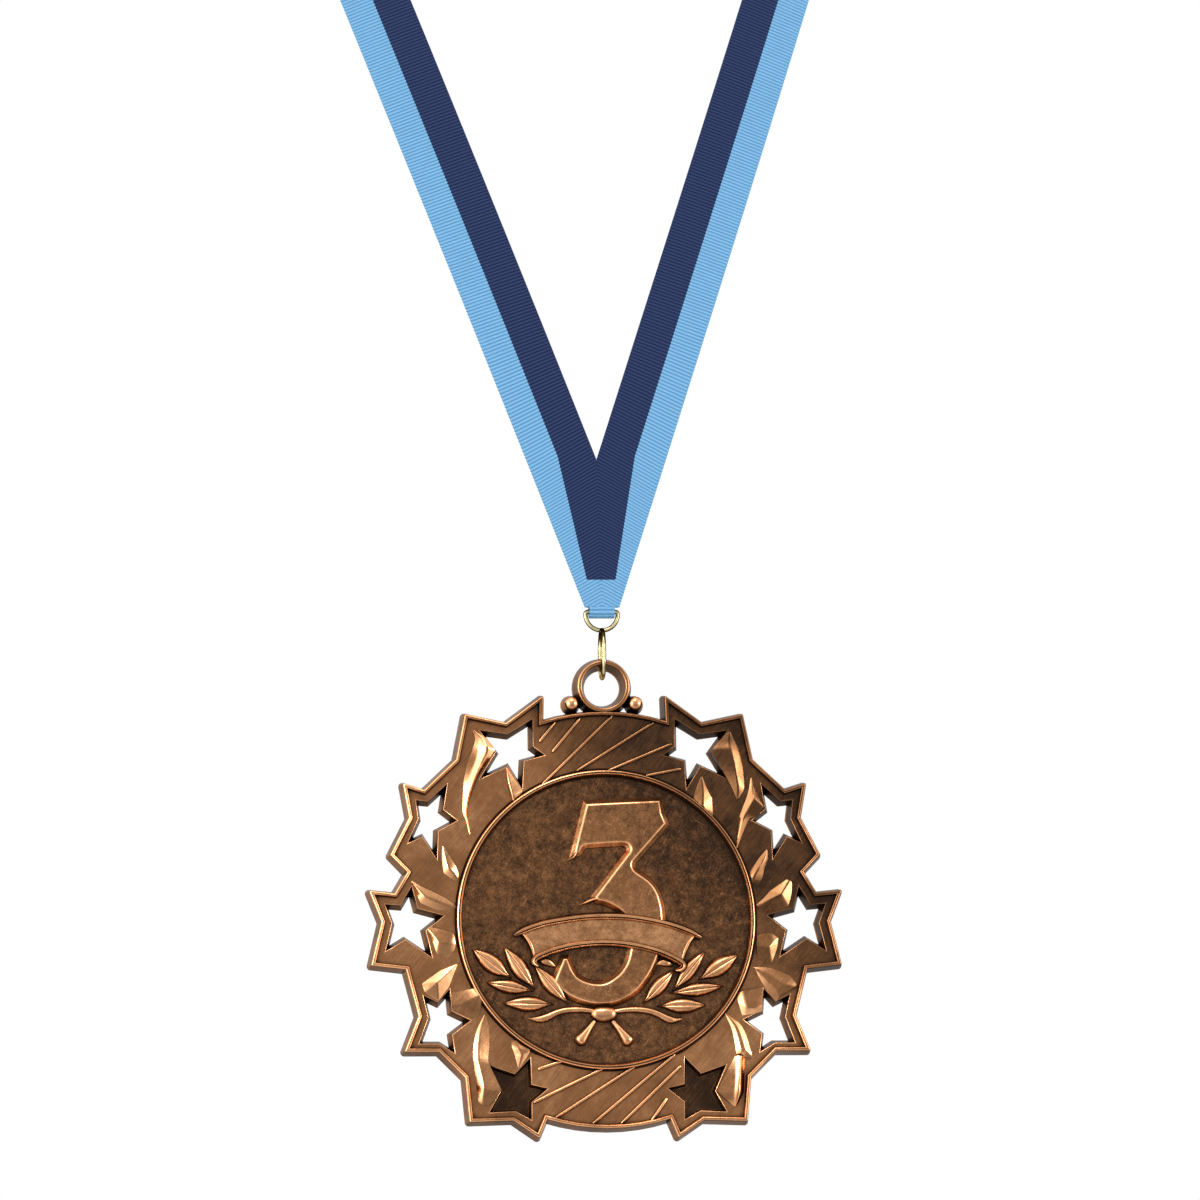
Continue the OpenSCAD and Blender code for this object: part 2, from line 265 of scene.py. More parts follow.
# %% [markdown]
# ## Tools for the casting
# A medal is die work: flat outlines with drafted walls, raised or sunk in steps. So the main tool draws an
# outline as one face, and the second tool takes that face in by a width and up or down by a rise, which is
# Blender's inset. Each ring of faces remembers how much it was rubbed after the dark dip: 0 is a recess that
# stayed dark, 1 is an edge that was polished bright. The finish reads that number later.

# %% Basic pieces and editing
WEAR = "wear"
SAME_SPOT = 2e-6


def deselect():
    bpy.ops.object.select_all(action="DESELECT")


def choose(piece):
    deselect()
    piece.select_set(True)
    bpy.context.view_layer.objects.active = piece


def basic(name, kind, **settings):
    """A new piece that begins as one of Blender's basic meshes."""
    deselect()
    getattr(bpy.ops.mesh, f"primitive_{kind}_add")(**settings)
    bpy.ops.object.transform_apply()
    piece = bpy.context.object
    piece.name = piece.data.name = name
    return piece


def die_form(name, kind, **settings):
    """A basic piece whose faces can note their wear."""
    piece = basic(name, kind, **settings)
    piece.data.attributes.new(WEAR, "FLOAT", "FACE")
    return piece


def joined(name, pieces):
    deselect()
    for piece in pieces:
        piece.select_set(True)
    bpy.context.view_layer.objects.active = pieces[0]
    bpy.ops.object.join()
    pieces[0].name = pieces[0].data.name = name
    return pieces[0]


def modified(piece, kind, **settings):
    """The piece with one modifier set up and applied."""
    choose(piece)
    bpy.ops.object.modifier_add(type=kind)
    modifier = piece.modifiers[-1]
    for name, value in settings.items():
        setattr(modifier, name, value)
    bpy.ops.object.modifier_apply(modifier=modifier.name)
    return piece


@contextmanager
def editing(piece):
    """The edit mode of a piece, with all of it selected."""
    choose(piece)
    bpy.ops.object.mode_set(mode="EDIT")
    select_all()
    yield piece
    bpy.ops.object.mode_set(mode="OBJECT")


def select_all():
    bpy.ops.mesh.select_all(action="SELECT")


def merge(distance=SAME_SPOT):
    """Joins points that lie closer than a distance in metres."""
    bpy.ops.mesh.remove_doubles(threshold=distance)


def turn_outward():
    select_all()
    bpy.ops.mesh.normals_make_consistent(inside=False)


def sink(foot):
    """Closes the selected sheet with walls and a flat underside at the height of its foot."""
    bpy.ops.mesh.extrude_region_move(TRANSFORM_OT_translate={"value": (0, 0.5 * MM, 0)})
    bpy.ops.transform.resize(value=(1, 0, 1), center_override=at(0, 0, foot))
    turn_outward()


# %% Noting the wear


def clamped(value):
    return min(1.0, max(0.0, value))


def note_wear(wear_of):
    """In edit mode: notes for each face the wear that a function gives for it."""
    mesh = bmesh.from_edit_mesh(bpy.context.object.data)
    layer = mesh.faces.layers.float[WEAR]
    for face in mesh.faces:
        face[layer] = wear_of(face)
    bmesh.update_edit_mesh(bpy.context.object.data)


def worn(piece, wear_of):
    """Notes for each face the wear that a function gives for how much it looks forward, from -1 to 1."""
    for wear, face in zip(piece.data.attributes[WEAR].data, piece.data.polygons):
        wear.value = wear_of(-face.normal.y)
    return piece


def rub(wear, ring=False):
    """Notes the wear of the selected faces, or of the ring of faces round them."""
    mesh = bmesh.from_edit_mesh(bpy.context.object.data)
    layer = mesh.faces.layers.float[WEAR]
    for face in [f for f in mesh.faces if f.select]:
        if ring:
            for edge in face.edges:
                for other in edge.link_faces:
                    if not other.select:
                        other[layer] = wear
        else:
            face[layer] = wear
    bmesh.update_edit_mesh(bpy.context.object.data)


# %% Drawing and stepping


def drawn_face(name, corners, height):
    """One flat face with its corners where the table says, looking forward."""
    piece = die_form(name, "circle", vertices=len(corners), radius=MM, fill_type="NGON")
    for vertex, corner in zip(piece.data.vertices, corners):
        vertex.co = at(*corner, height)
    piece.data.update()
    if piece.data.polygons[0].normal.y > 0:
        with editing(piece):
            bpy.ops.mesh.flip_normals()
    return piece


def stepped(name, corners, height, steps, face_wear=None):
    """A face that is drawn and then taken in by widths and forward by rises.

    Each step is its width, its rise and the wear of its faces. Without a wear for the last face, that face
    is opened.
    """
    piece = drawn_face(name, corners, height)
    with editing(piece):
        bpy.ops.mesh.select_mode(type="FACE")
        select_all()
        for width, rise, wear in steps:
            bpy.ops.mesh.inset(
                thickness=width * MM, depth=rise * MM, use_even_offset=True, use_boundary=True)
            rub(wear, ring=True)
            merge(2 * SAME_SPOT)
        if face_wear is None:
            bpy.ops.mesh.delete(type="ONLY_FACE")
        else:
            rub(face_wear)
    return piece


def closed(piece):
    """Closes the open underside of a stepped form."""
    with editing(piece):
        bpy.ops.mesh.fill_holes(sides=0)
        turn_outward()
    return piece


# %% Changing outlines
ROUND_FROM = math.radians(35)
ARC_STEP = math.radians(26)


def ways(corners):
    """Each corner with the ways into it and out of it."""
    for i, corner in enumerate(corners):
        here = Vector(corner)
        before = (here - Vector(corners[i - 1])).normalized()
        after = (Vector(corners[(i + 1) % len(corners)]) - here).normalized()
        yield here, before, after


def grown(corners, distance):
    """The outline with each side moved out by a distance, the corners mitred. The corners go clockwise."""
    moved = []
    for here, before, after in ways(corners):
        turn = 1 + before.dot(after)
        moved.append((
            here.x - distance * (before.y + after.y) / turn,
            here.y + distance * (before.x + after.x) / turn))
    return moved


def rounded(corners, radius):
    """The outline with its outward corners cut to arcs, whose sides all touch a circle of one radius."""
    cut = []
    for corner, (here, before, after) in zip(corners, ways(corners)):
        turn = math.atan2(after.x * before.y - after.y * before.x, before.dot(after))
        if turn < ROUND_FROM:
            cut.append(corner)
            continue
        normals = Vector((-before.y, before.x)) + Vector((-after.y, after.x))
        middle = here - normals * (radius / (1 + before.dot(after)))
        pieces = math.ceil(turn / ARC_STEP)
        reach = radius / math.cos(turn / pieces / 2)
        first = math.atan2(before.x, -before.y)
        for k in range(pieces):
            angle = first - turn * (k + 0.5) / pieces
            cut.append((middle.x + reach * math.cos(angle), middle.y + reach * math.sin(angle)))
    return cut


def arc(radius, first, last, steps):
    """Corners round the disc's middle, with angles that count clockwise from the top."""
    angles = [first + (last - first) * i / steps for i in range(steps + 1)]
    return [(radius * math.sin(angle), radius * math.cos(angle)) for angle in angles]


def mirrored(corners):
    return [(-x, z) for x, z in reversed(corners)]


# %% [markdown]
# ## The star plate
# The plate's edge is a raised rim with a channel inside it. It grows towards the flat back, because a
# casting needs draft to leave its mould. One outline is stepped from the back edge, over the rim and down
# into the channel. Each star cut-out is stepped down from the plate's face, and the disc is stepped up over
# its ring and down to its sunk field. Then the faces between them are filled, front and back.

# %% Outlines of the plate
EDGE_RADIUS = 31.2
EDGE_HALF_ANGLE = math.radians(17.35)
EDGE_STEPS = 8
HALF_OUTLINE = [
    (9.2, 33.6), (14.8, 29.5), (20.9, 30.8), (22.3, 24.0), (27.2, 19.4),
    (30.3, 20.4), (29.4, 15.3), (32.3, 9.7), (29.8, 7.1), (31.7, 3.9),
    (35.5, 4.3), (33.7, -0.3), (35.3, -6.8), (30.1, -7.4),
    (28.3, -14.4), (30.4, -19.7), (25.3, -19.7), (21.4, -23.6),
    (20.8, -30.2), (14.3, -30.0), (10.5, -32.6)]
STARS = [
    [(10.6, 30.4), (14.5, 28.0), (18.9, 28.6), (16.4, 25.2), (19.0, 20.9),
     (14.5, 23.0), (12.3, 19.3), (12.0, 23.8), (8.7, 24.7), (10.6, 26.1)],
    [(23.5, 20.7), (26.6, 17.9), (28.5, 18.1), (28.1, 15.2), (29.9, 11.3),
     (27.5, 12.4), (25.2, 8.8), (25.0, 13.3), (22.0, 14.9), (24.2, 16.6)],
    [(29.1, 5.3), (30.9, 2.3), (33.3, 2.5), (32.2, -0.5), (33.3, -4.9),
     (30.2, -3.0), (26.0, -5.8), (27.0, -1.6), (24.1, 0.7), (28.2, 1.8)],
    [(23.5, -10.1), (25.4, -12.2), (27.7, -11.1), (26.9, -14.6), (28.4, -18.6),
     (25.2, -18.6), (22.8, -20.1), (23.2, -17.2), (20.3, -15.0), (23.2, -13.6)],
    [(11.5, -20.4), (14.0, -23.0), (18.0, -21.6), (16.2, -25.7), (18.0, -28.9),
     (13.9, -28.7), (11.4, -30.1), (11.4, -27.3), (8.8, -25.2), (11.4, -24.6)]]
BLIND_STAR = STARS[4]
TOP_EDGE, BOTTOM_EDGE = (
    arc(EDGE_RADIUS, middle - EDGE_HALF_ANGLE, middle + EDGE_HALF_ANGLE, EDGE_STEPS)
    for middle in (0.0, math.pi))
OUTLINE = TOP_EDGE + HALF_OUTLINE + BOTTOM_EDGE + mirrored(HALF_OUTLINE)
print("the outline has", len(OUTLINE), "corners")

# %% The rim, the stars and the disc
PLATE = 2.6
BACK_DRAFT = 0.5
RIM_STEPS = [
    (0.36, 2.85, 0.22), (0.06, 0.30, 0.3), (0.08, 0.20, 0.6), (0.11, 0.12, 0.85), (0.13, 0.03, 0.68),
    (0.12, -0.05, 0.66), (0.09, -0.16, 0.9), (0.07, -0.30, 0.3), (0.10, -0.39, 0.0)]
STAR_STEPS = [(0.06, -0.03, 0.9), (0.06, -0.12, 0.7), (0.22, -1.1, 0.05), (0.30, -1.35, 0.2)]
BLIND_STEPS = [(0.06, -0.03, 0.9), (0.06, -0.12, 0.6), (0.30, -1.2, 0.0), (0.15, -0.05, 0.05)]
DISC_GROOVE_RADIUS = 22.78
DISC_STEPS = [
    (0.12, -0.12, 0.05), (0.12, 0.0, 0.0), (0.08, 0.50, 0.1), (0.05, 0.18, 0.7), (0.09, 0.13, 1.0),
    (0.10, 0.03, 1.0), (0.08, -0.10, 0.45), (0.05, 0.0, 0.3), (0.08, 0.10, 0.9), (0.10, 0.0, 1.0),
    (0.09, -0.11, 1.0), (0.06, -0.19, 0.6), (0.30, -0.88, 0.1), (0.12, -0.04, 0.05)]
DISC_CORNERS = 180
FRONT_WEAR, BACK_WEAR, DISC_WEAR, BLIND_WEAR = 0.5, 0.35, 0.2, -0.05
TIP_RADIUS = sum(width for width, rise, wear in RIM_STEPS[:4])
plate = stepped("casting", rounded(grown(OUTLINE, BACK_DRAFT), TIP_RADIUS), 0.0, RIM_STEPS)
stars = []
for star in STARS:
    steps, face_wear = (BLIND_STEPS, BLIND_WEAR) if star is BLIND_STAR else (STAR_STEPS, None)
    stars += [stepped("star", corners, PLATE, steps, face_wear) for corners in (star, mirrored(star))]
disc_edge = arc(DISC_GROOVE_RADIUS, 0.0, 2 * math.pi, DISC_CORNERS)[:-1]
plate = joined("casting", [plate, stepped("disc", disc_edge, PLATE, DISC_STEPS, DISC_WEAR)] + stars)
print("rim, disc and", len(stars), "stars:", len(plate.data.polygons), "faces")

# %% Filling the plate's front and its flat back


def fill_level(piece, height, wear):
    """Fills between all the open edges that lie at one height over the flat back."""
    level = at(0, 0, height).y
    with editing(piece):
        bpy.ops.mesh.select_mode(type="EDGE")
        bpy.ops.mesh.select_all(action="DESELECT")
        mesh = bmesh.from_edit_mesh(piece.data)
        for edge in mesh.edges:
            if edge.is_boundary and all(abs(v.co.y - level) < SAME_SPOT / 2 for v in edge.verts):
                edge.select = True
        mesh.select_flush(True)
        bmesh.update_edit_mesh(piece.data)
        bpy.ops.mesh.fill(use_beauty=True)
        rub(wear)


fill_level(plate, PLATE, FRONT_WEAR)
fill_level(plate, 0.0, BACK_WEAR)
with editing(plate):
    turn_outward()
edge_use = bmesh.new()
edge_use.from_mesh(plate.data)
print("the plate has", len(edge_use.faces), "faces and",
      sum(e.is_boundary for e in edge_use.edges), "open edges")
edge_use.free()

# %% [markdown]
# ## Raised forms on the plate
# Comet tails, ribs, leaves and rolled edges all stand on a flat ground. Each is a strip of rows that run
# across it, so it starts as a grid whose points are moved to their places. Extruding the whole sheet back
# into the ground and flattening its new side closes the form.

# %% A form made of rows
WEAR_GAIN, WEAR_OFFSET = 1.6, 0.35
relief = []


def raised(name, rows, foot, wear_low=0.15, wear_high=1.0):
    """A closed form from rows of spots (x, z, height), standing in the ground as deep as its foot."""
    piece = die_form(name, "grid", x_subdivisions=len(rows[0]) - 1, y_subdivisions=len(rows) - 1, size=MM)
    for vertex, spot in zip(piece.data.vertices, [spot for row in rows for spot in row]):
        vertex.co = at(*spot)
    highest = max(height for row in rows for x, z, height in row)

    def wear_of(face):
        """More wear near the crest and on what looks forward."""
        height = (DISC_BACK.y - face.calc_center_median().y / MM - foot) / (highest - foot)
        facing = max(0.0, -face.normal.y)
        return wear_low + (wear_high - wear_low) * clamped(WEAR_GAIN * height - WEAR_OFFSET) * facing ** 0.5

    with editing(piece):
        merge()
        select_all()
        sink(foot)
        note_wear(wear_of)
    return piece


# %% [markdown]
# ## The comet tails
# Behind every star trails a comet tail: a ridge with a crest, a broad side and a narrow side. No two are
# alike on the real medal, so each has its own table, read from the photo. A row runs across the tail, from
# one foot over its crest to the other foot. A spot is (x, z, height), and one without a height lies on the
# low lip round the tail. The polishing wheel brightens the steeper sides most, but misses sides that are as
# steep as a wall.

# %% Tables of the tails
TAILS = {
    "tail_left_1": [
        [(-19.8, 28.5), (-19.72, 28.5, 2.64), (-19.64, 28.5, 2.66), (-19.5, 28.5)],
        [(-19.4, 27.3, 2.7), (-18.95, 27.3, 2.82), (-18.3, 27.2, 3), (-17.65, 27.15, 2.9)],
        [(-19.69, 26, 2.7), (-18.85, 26, 2.95), (-17.75, 25.9, 3.5), (-16.53, 25.5, 3.1)],
        [(-20.03, 25, 2.68), (-19.05, 25, 2.9), (-17.8, 24.9, 3.45), (-16.95, 24.7, 3)],
        [(-20.59, 23.72, 2.66), (-19.39, 23.72, 2.88), (-18.42, 23.72, 3.35), (-17.75, 23.5, 2.85)],
        [(-21.16, 20.85, 2.64), (-20.5, 20.85, 2.85), (-19.58, 20.85, 3.2), (-19.3, 20.9, 2.7)],
        [(-21.3, 18.13, 2.64), (-20.97, 18.13, 2.8), (-20.5, 18.13, 3), (-20.3, 18.13, 2.66)],
        [(-21.35, 16.1), (-21.1, 16.1, 2.75), (-20.84, 16.1, 2.86), (-20.7, 16.1, 2.63)],
        [(-20.85, 14.81), (-20.76, 14.81, 2.68), (-20.66, 14.81, 2.76), (-20.52, 14.81)],
        [(-20.45, 12.9), (-20.4, 12.9, 2.63), (-20.35, 12.9, 2.64), (-20.28, 12.9)],
    ],
    "tail_left_2": [
        [(-14.72, 22.82), (-14.65, 22.82, 2.64), (-14.5, 22.67)],
        [(-14.72, 20.85), (-14.45, 20.85, 2.95), (-13.36, 20.85, 2.7)],
        [(-14.19, 18.59), (-13.89, 18.74, 2.98), (-12.38, 19.42, 2.68)],
        [(-13.89, 17.83, 2.6), (-13.67, 17.98, 2.8), (-12.68, 18.43)],
    ],
    "tail_left_3": [
        [(-24.46, 11.03), (-24.39, 11.03, 2.65), (-24.31, 11.03)],
        [(-24.54, 9.22), (-24.04, 9.22, 2.95), (-23.4, 9.59, 2.8)],
        [(-24.31, 7.03), (-23.56, 7.63, 3.1), (-22.65, 8.31, 2.8)],
        [(-22.73, 5.89), (-22.35, 6.42, 2.8), (-22.12, 6.95, 2.68)],
        [(-22.12, 6.04), (-22.05, 6.12, 2.65), (-21.97, 6.2)],
    ],
    "tail_left_4": [
        [(-29.22, 5.74), (-29.14, 5.82, 2.65), (-29.07, 5.89)],
        [(-28.84, 4.99), (-28.16, 4.53, 2.95), (-27.78, 5.06, 2.78)],
        [(-27.86, 2.57), (-27.1, 3.4, 3.12), (-26.2, 4.31, 2.82)],
        [(-25.29, 1.51), (-24.84, 2.57, 2.98), (-24.08, 3.25, 2.74)],
        [(-23.48, 1.51), (-23.03, 2.04, 2.72), (-22.88, 2.42, 2.66)],
        [(-22.42, 1.81), (-22.38, 1.89, 2.64), (-22.35, 1.96)],
    ],
    "tail_left_5": [
        [(-26.8, -1.36), (-26.73, -1.21, 2.65), (-26.65, -1.06)],
        [(-26.27, -2.57), (-25.9, -2.34, 2.92), (-24.99, -1.36, 2.75)],
        [(-25.44, -5.14), (-25.17, -3.4, 3.12), (-23.93, -1.66, 2.78)],
        [(-23.48, -4.99), (-23.48, -3.51, 2.98), (-23.03, -1.96, 2.74)],
        [(-22.57, -4.08), (-22.57, -3.55, 2.75), (-22.57, -2.87, 2.66)],
    ],
    "tail_left_7": [
        [(-23.48, -10.88), (-23.18, -12.92, 2.8), (-23.1, -13.52, 2.64)],
        [(-21.67, -10.58, 2.66), (-21.22, -12.31, 3), (-21.82, -13.98, 2.64)],
        [(-19.86, -10.27, 2.7), (-19.1, -11.33, 3.12), (-20.31, -14.66, 2.64)],
        [(-18.95, -10.88, 2.7), (-18.83, -11.48, 3), (-19.18, -14.35)],
    ],
    "tail_left_8": [
        [(-18.45, -14.2), (-18.35, -14.2, 2.65), (-18.2, -14.3)],
        [(-19.45, -16.17), (-18.95, -16.1, 2.8), (-17.8, -16.02)],
        [(-20.05, -18.43), (-19.35, -18.43, 2.92), (-17.75, -18.43)],
        [(-20.18, -20.7), (-19.45, -20.7, 3), (-17.95, -20.7, 2.66)],
        [(-20.1, -21.31), (-19.4, -21.46, 3.05), (-17.8, -21.61, 2.88)],
        [(-19.9, -23.4), (-18.95, -23.4, 3.15), (-17, -23.4, 2.9)],
        [(-19.75, -24.9), (-18.72, -25.05, 3.35), (-16.1, -25.5, 3.1)],
        [(-19.6, -26.2), (-18.85, -26.5, 3), (-17.1, -26.9, 2.85)],
        [(-19.42, -27.3), (-18.9, -27.7, 2.66), (-18.2, -27.95)],
    ],
    "tail_left_9": [
        [(-14.5, -17.98), (-13.67, -18.13, 2.72), (-12.76, -18.59, 2.66)],
        [(-14.34, -19.04), (-13.36, -19.34, 2.98), (-12.16, -19.19, 2.76)],
        [(-13.89, -20.4), (-12.91, -20.25, 2.98), (-11.7, -19.79, 2.76)],
        [(-13.51, -22.06), (-13.36, -22.14, 2.65), (-13.21, -22.06)],
    ],
    "tail_right_1": [
        [(18.88, 28.26), (19, 28.33, 2.65), (19.1, 28.26)],
        [(17.14, 26.59), (18.88, 26.44, 2.92), (19.71, 26.9, 2.66)],
        [(16.23, 25.16, 2.8), (19.15, 25.3, 3.12), (20.4, 25.23, 2.66)],
        [(17.14, 23.57, 2.8), (19.6, 23.5, 3.16), (20.84, 23.27, 2.64)],
        [(18.35, 21.46, 2.72), (19.9, 21.61, 3.15), (21.06, 20.85)],
        [(19.25, 19.79, 2.66), (20.13, 19.95, 2.98), (20.99, 19.49)],
        [(19.93, 18.13), (20.12, 18.1, 2.66), (20.31, 18.36)],
    ],
    "tail_right_2": [
        [(14.5, 21.46), (14.65, 21.53, 2.65), (14.8, 21.46)],
        [(13.67, 19.34, 2.7), (14.87, 19.64, 2.95), (15.48, 19.64, 2.64)],
        [(13.29, 17.68, 2.68), (14.72, 17.07, 3.15), (16.16, 18.28, 2.64)],
        [(14.5, 16.62), (15.1, 16.39, 2.85), (16.31, 15.41)],
    ],
    "tail_right_3": [
        [(22.12, 21.31), (22.2, 21.38, 2.65), (22.27, 21.31)],
        [(21.74, 19.34, 2.64), (22.42, 19.19, 2.95), (22.88, 19.34, 2.64)],
        [(21.29, 17.98, 2.66), (22.5, 18.13, 3.2), (23.93, 16.85, 3)],
        [(20.69, 16.47, 2.64), (21.52, 16.47, 3.05), (22.95, 15.41, 2.8)],
        [(20.23, 15.11, 2.64), (20.84, 15.11, 3.05), (21.82, 15.19, 2.64)],
        [(19.93, 13.3), (20.28, 13.3, 2.95), (20.91, 13.3)],
        [(19.68, 10.8), (19.75, 10.73, 2.65), (19.86, 10.73)],
    ],
    "tail_right_4": [
        [(24.24, 10.43), (24.34, 10.5, 2.65), (24.45, 10.43)],
        [(23.18, 9.22), (23.93, 9.07, 3), (24.51, 9.07)],
        [(22.27, 7.86), (23.1, 7.71, 3.12), (23.93, 7.56, 2.64)],
        [(21.52, 6.65), (22.35, 6.42, 3), (23.63, 6.35)],
        [(21.82, 5.59), (21.97, 5.52, 2.72), (22.88, 4.84)],
    ],
    "tail_right_5": [
        [(27.26, 5.97), (27.71, 5.82, 2.75), (28.09, 5.59)],
        [(26.05, 5.14), (26.95, 4.68, 3), (27.98, 3.78)], [(24.84, 4.31), (26.35, 3.7, 3.2), (27.45, 1.96)],
        [(23.78, 3.17), (24.69, 2.95, 3), (25.44, 1.28)],
        [(22.65, 2.19), (22.88, 1.92, 2.72), (23.48, 0.91)],
    ],
    "tail_right_6": [
        [(25.75, -2.72), (25.82, -2.8, 2.65), (25.9, -2.87)],
        [(24.84, -2.12, 2.72), (25.14, -3.48, 2.92), (25.67, -4.38)],
        [(23.78, -2.12, 2.74), (24.39, -4.23, 3.12), (24.81, -6.65)],
        [(22.73, -2.42, 2.72), (22.57, -4.08, 2.98), (22.73, -5.89, 2.64)],
    ],
    "tail_right_7": [
        [(22.05, -7.18), (22.12, -7.22, 2.65), (22.12, -7.28, 2.65), (22.2, -7.34)],
        [(24.6, -7.3, 2.64), (24.24, -8.31, 2.88), (23.78, -8.76, 2.86), (23.48, -9.67)],
        [(27.5, -8.4, 2.66), (26.35, -9.82, 3.04), (25.59, -10.43, 3), (24.39, -11.18, 2.64)],
        [(28.69, -9.82, 2.66), (28.31, -10.12, 2.9), (26.05, -11.48, 2.92), (25.44, -12.39, 2.64)],
    ],
    "tail_right_8": [
        [(19.48, -11.18), (19.78, -12.54, 2.66), (20.31, -14.35)],
        [(20.46, -10.73, 2.85), (20.99, -13.22, 3.2), (20.91, -14.35, 2.66)],
        [(22.12, -10.43, 2.82), (22.27, -13.3, 3.12), (22.12, -14.13, 2.66)],
        [(23.3, -10.12, 2.72), (23.3, -12.99, 2.92), (23.3, -13.83, 2.66)],
    ],
    "tail_right_9": [
        [(17.52, -13.83), (17.59, -13.86, 2.65), (17.64, -13.9, 2.65), (17.71, -13.95)],
        [(18.57, -16.02), (19, -15.87, 2.85), (19.3, -15.71, 2.86), (19.85, -15.56)],
        [(19.03, -17.83), (19.68, -17.83, 2.97), (20.1, -17.6, 2.95), (20.85, -17.38)],
        [(19.35, -20.1), (20.13, -19.87, 3.05), (20.75, -19.57, 3), (21.75, -20.5, 2.64)],
        [(19.55, -20.55), (20.16, -20.55, 2.66), (20.61, -20.63, 2.66), (21.44, -21.15)],
    ],
    "tail_right_10": [
        [(19.15, -20.5, 2.64), (19.35, -20.5, 2.85), (19.95, -20.5, 3.15), (20.6, -20.5)],
        [(17.4, -23.57, 2.8), (19.1, -23.57, 2.98), (19.75, -23.57, 3.28), (20.5, -23.57)],
        [(16.31, -25.76, 2.9), (18.85, -25.84, 3.04), (19.6, -25.84, 3.32), (20.4, -25.84)],
        [(17.7, -27, 2.8), (18.85, -27, 2.95), (19.35, -27, 3.12), (19.85, -27)],
        [(18.9, -28), (19.02, -28, 2.66), (19.12, -28, 2.66), (19.3, -28)],
    ],
}
PEAK_FOOT = [
    (-27.78, -9.44), (-24.99, -7.48), (-22.2, -6.42), (-23.63, -10.05), (-25.29, -12.16), (-27.41, -10.88)]
PEAK_TOP = (-25.52, -9.44, 3.5)

# %% Raising the tails
TAIL_FOOT = 2.2
TAIL_LIP = 2.62
TAIL_LIFT = 1.4
CREST_ROUNDING, MOST_ROUNDING = 0.22, 0.3
GENTLE_WEAR, STEEP_WEAR = 0.56, 0.95
STEEP_FROM, STEEP_OVER = 14, 12
WALL_FROM, WALL_OVER, WALL_LOSS = 50, 8, 0.8


def smooth_route(points, steps):
    """A smooth curve through the points, which may be of any number of values each."""
    curve = []
    for i in range(len(points) - 1):
        p0, p1, p2, p3 = (points[max(0, min(len(points) - 1, i + k))] for k in (-1, 0, 1, 2))
        for j in range(steps):
            t = j / steps
            curve.append(tuple(
                0.5 * (2 * b + (c - a) * t + (2 * a - 5 * b + 4 * c - d) * t * t
                       + (3 * b - a - 3 * c + d) * t ** 3)
                for a, b, c, d in zip(p0, p1, p2, p3)))
    return curve + [tuple(points[-1])]


def lifted(x, z, height=TAIL_LIP):
    return x, z, PLATE + (height - PLATE) * TAIL_LIFT


def flowing(rows, steps=3):
    """More rows between the rows, along smooth curves."""
    flat = [tuple(value for spot in row for value in spot) for row in rows]
    return [[curve[i:i + 3] for i in range(0, len(curve), 3)] for curve in smooth_route(flat, steps)]


def round_crests(row):
    """The row with each inner spot opened to three, so that crests are narrow rounds, not knife edges."""
    spots = [Vector(spot) for spot in row]
    rounded_row = [spots[0]]
    for before, here, after in zip(spots, spots[1:], spots[2:]):
        left, right = (
            here.lerp(next_one, min(MOST_ROUNDING, CREST_ROUNDING / max(0.01, (here - next_one).length)))
            for next_one in (before, after))
        rounded_row += [left, here * 0.5 + (left + right) * 0.25, right]
    return [tuple(spot) for spot in rounded_row + [spots[-1]]]


def polish(forward):
    """The wear of a face by its slope."""
    slope = math.degrees(math.acos(min(1.0, max(-1.0, forward))))
    wear = GENTLE_WEAR + (STEEP_WEAR - GENTLE_WEAR) * clamped((slope - STEEP_FROM) / STEEP_OVER)
    return wear - WALL_LOSS * clamped((slope - WALL_FROM) / WALL_OVER)


for name, rows in TAILS.items():
    rows = [[lifted(*spot) for spot in row] for row in rows]
    crest = max(range(len(rows)), key=lambda i: max(height for x, z, height in rows[i]))
    rows = flowing(rows[:crest + 1])[:-1] + flowing(rows[crest:])
    relief.append(worn(raised(name, [round_crests(row) for row in rows], TAIL_FOOT), polish))
print(len(relief), "tails that are ridges")

# %% The tail that is a peak
PEAK_SEAT = 0.03
PEAK_BEVEL = 0.14
PEAK_CREASE = math.radians(12)
peak = drawn_face("tail_peak", PEAK_FOOT, PLATE + PEAK_SEAT)
with editing(peak):
    bpy.ops.mesh.poke()
    mesh = bmesh.from_edit_mesh(peak.data)
    mesh.verts.ensure_lookup_table()
    mesh.verts[-1].co = at(*PEAK_TOP)
    bmesh.update_edit_mesh(peak.data)
    sink(TAIL_FOOT)
modified(peak, "BEVEL", width=PEAK_BEVEL * MM, segments=2, limit_method="ANGLE",
         angle_limit=PEAK_CREASE)
relief.append(worn(peak, polish))
print(len(relief), "comet tails with the peak")

# %% [markdown]
# ## Ribs
# Slanting ribs fill the fields above and below the disc. A rib is a half-round bar with soft ends. The same
# row tool makes it: the rows follow the bar, and each row is a round profile.

# %% A bar that follows a route
ROUND = [(-1.0, 0.0), (-0.86, 0.5), (-0.5, 0.87), (0.0, 1.0), (0.5, 0.87), (0.86, 0.5), (1.0, 0.0)]


def bar_rows(route, ground, profile):
    """Rows of a bar along a route of (x, z, half width, height over the ground)."""
    rows = []
    for i, (x, z, half, height) in enumerate(route):
        before, after = route[max(0, i - 1)], route[min(len(route) - 1, i + 1)]
        way = Vector((after[0] - before[0], after[1] - before[1])).normalized()
        rows.append([(x - way.y * half * u, z + way.x * half * u, ground + height * v) for u, v in profile])
    return rows


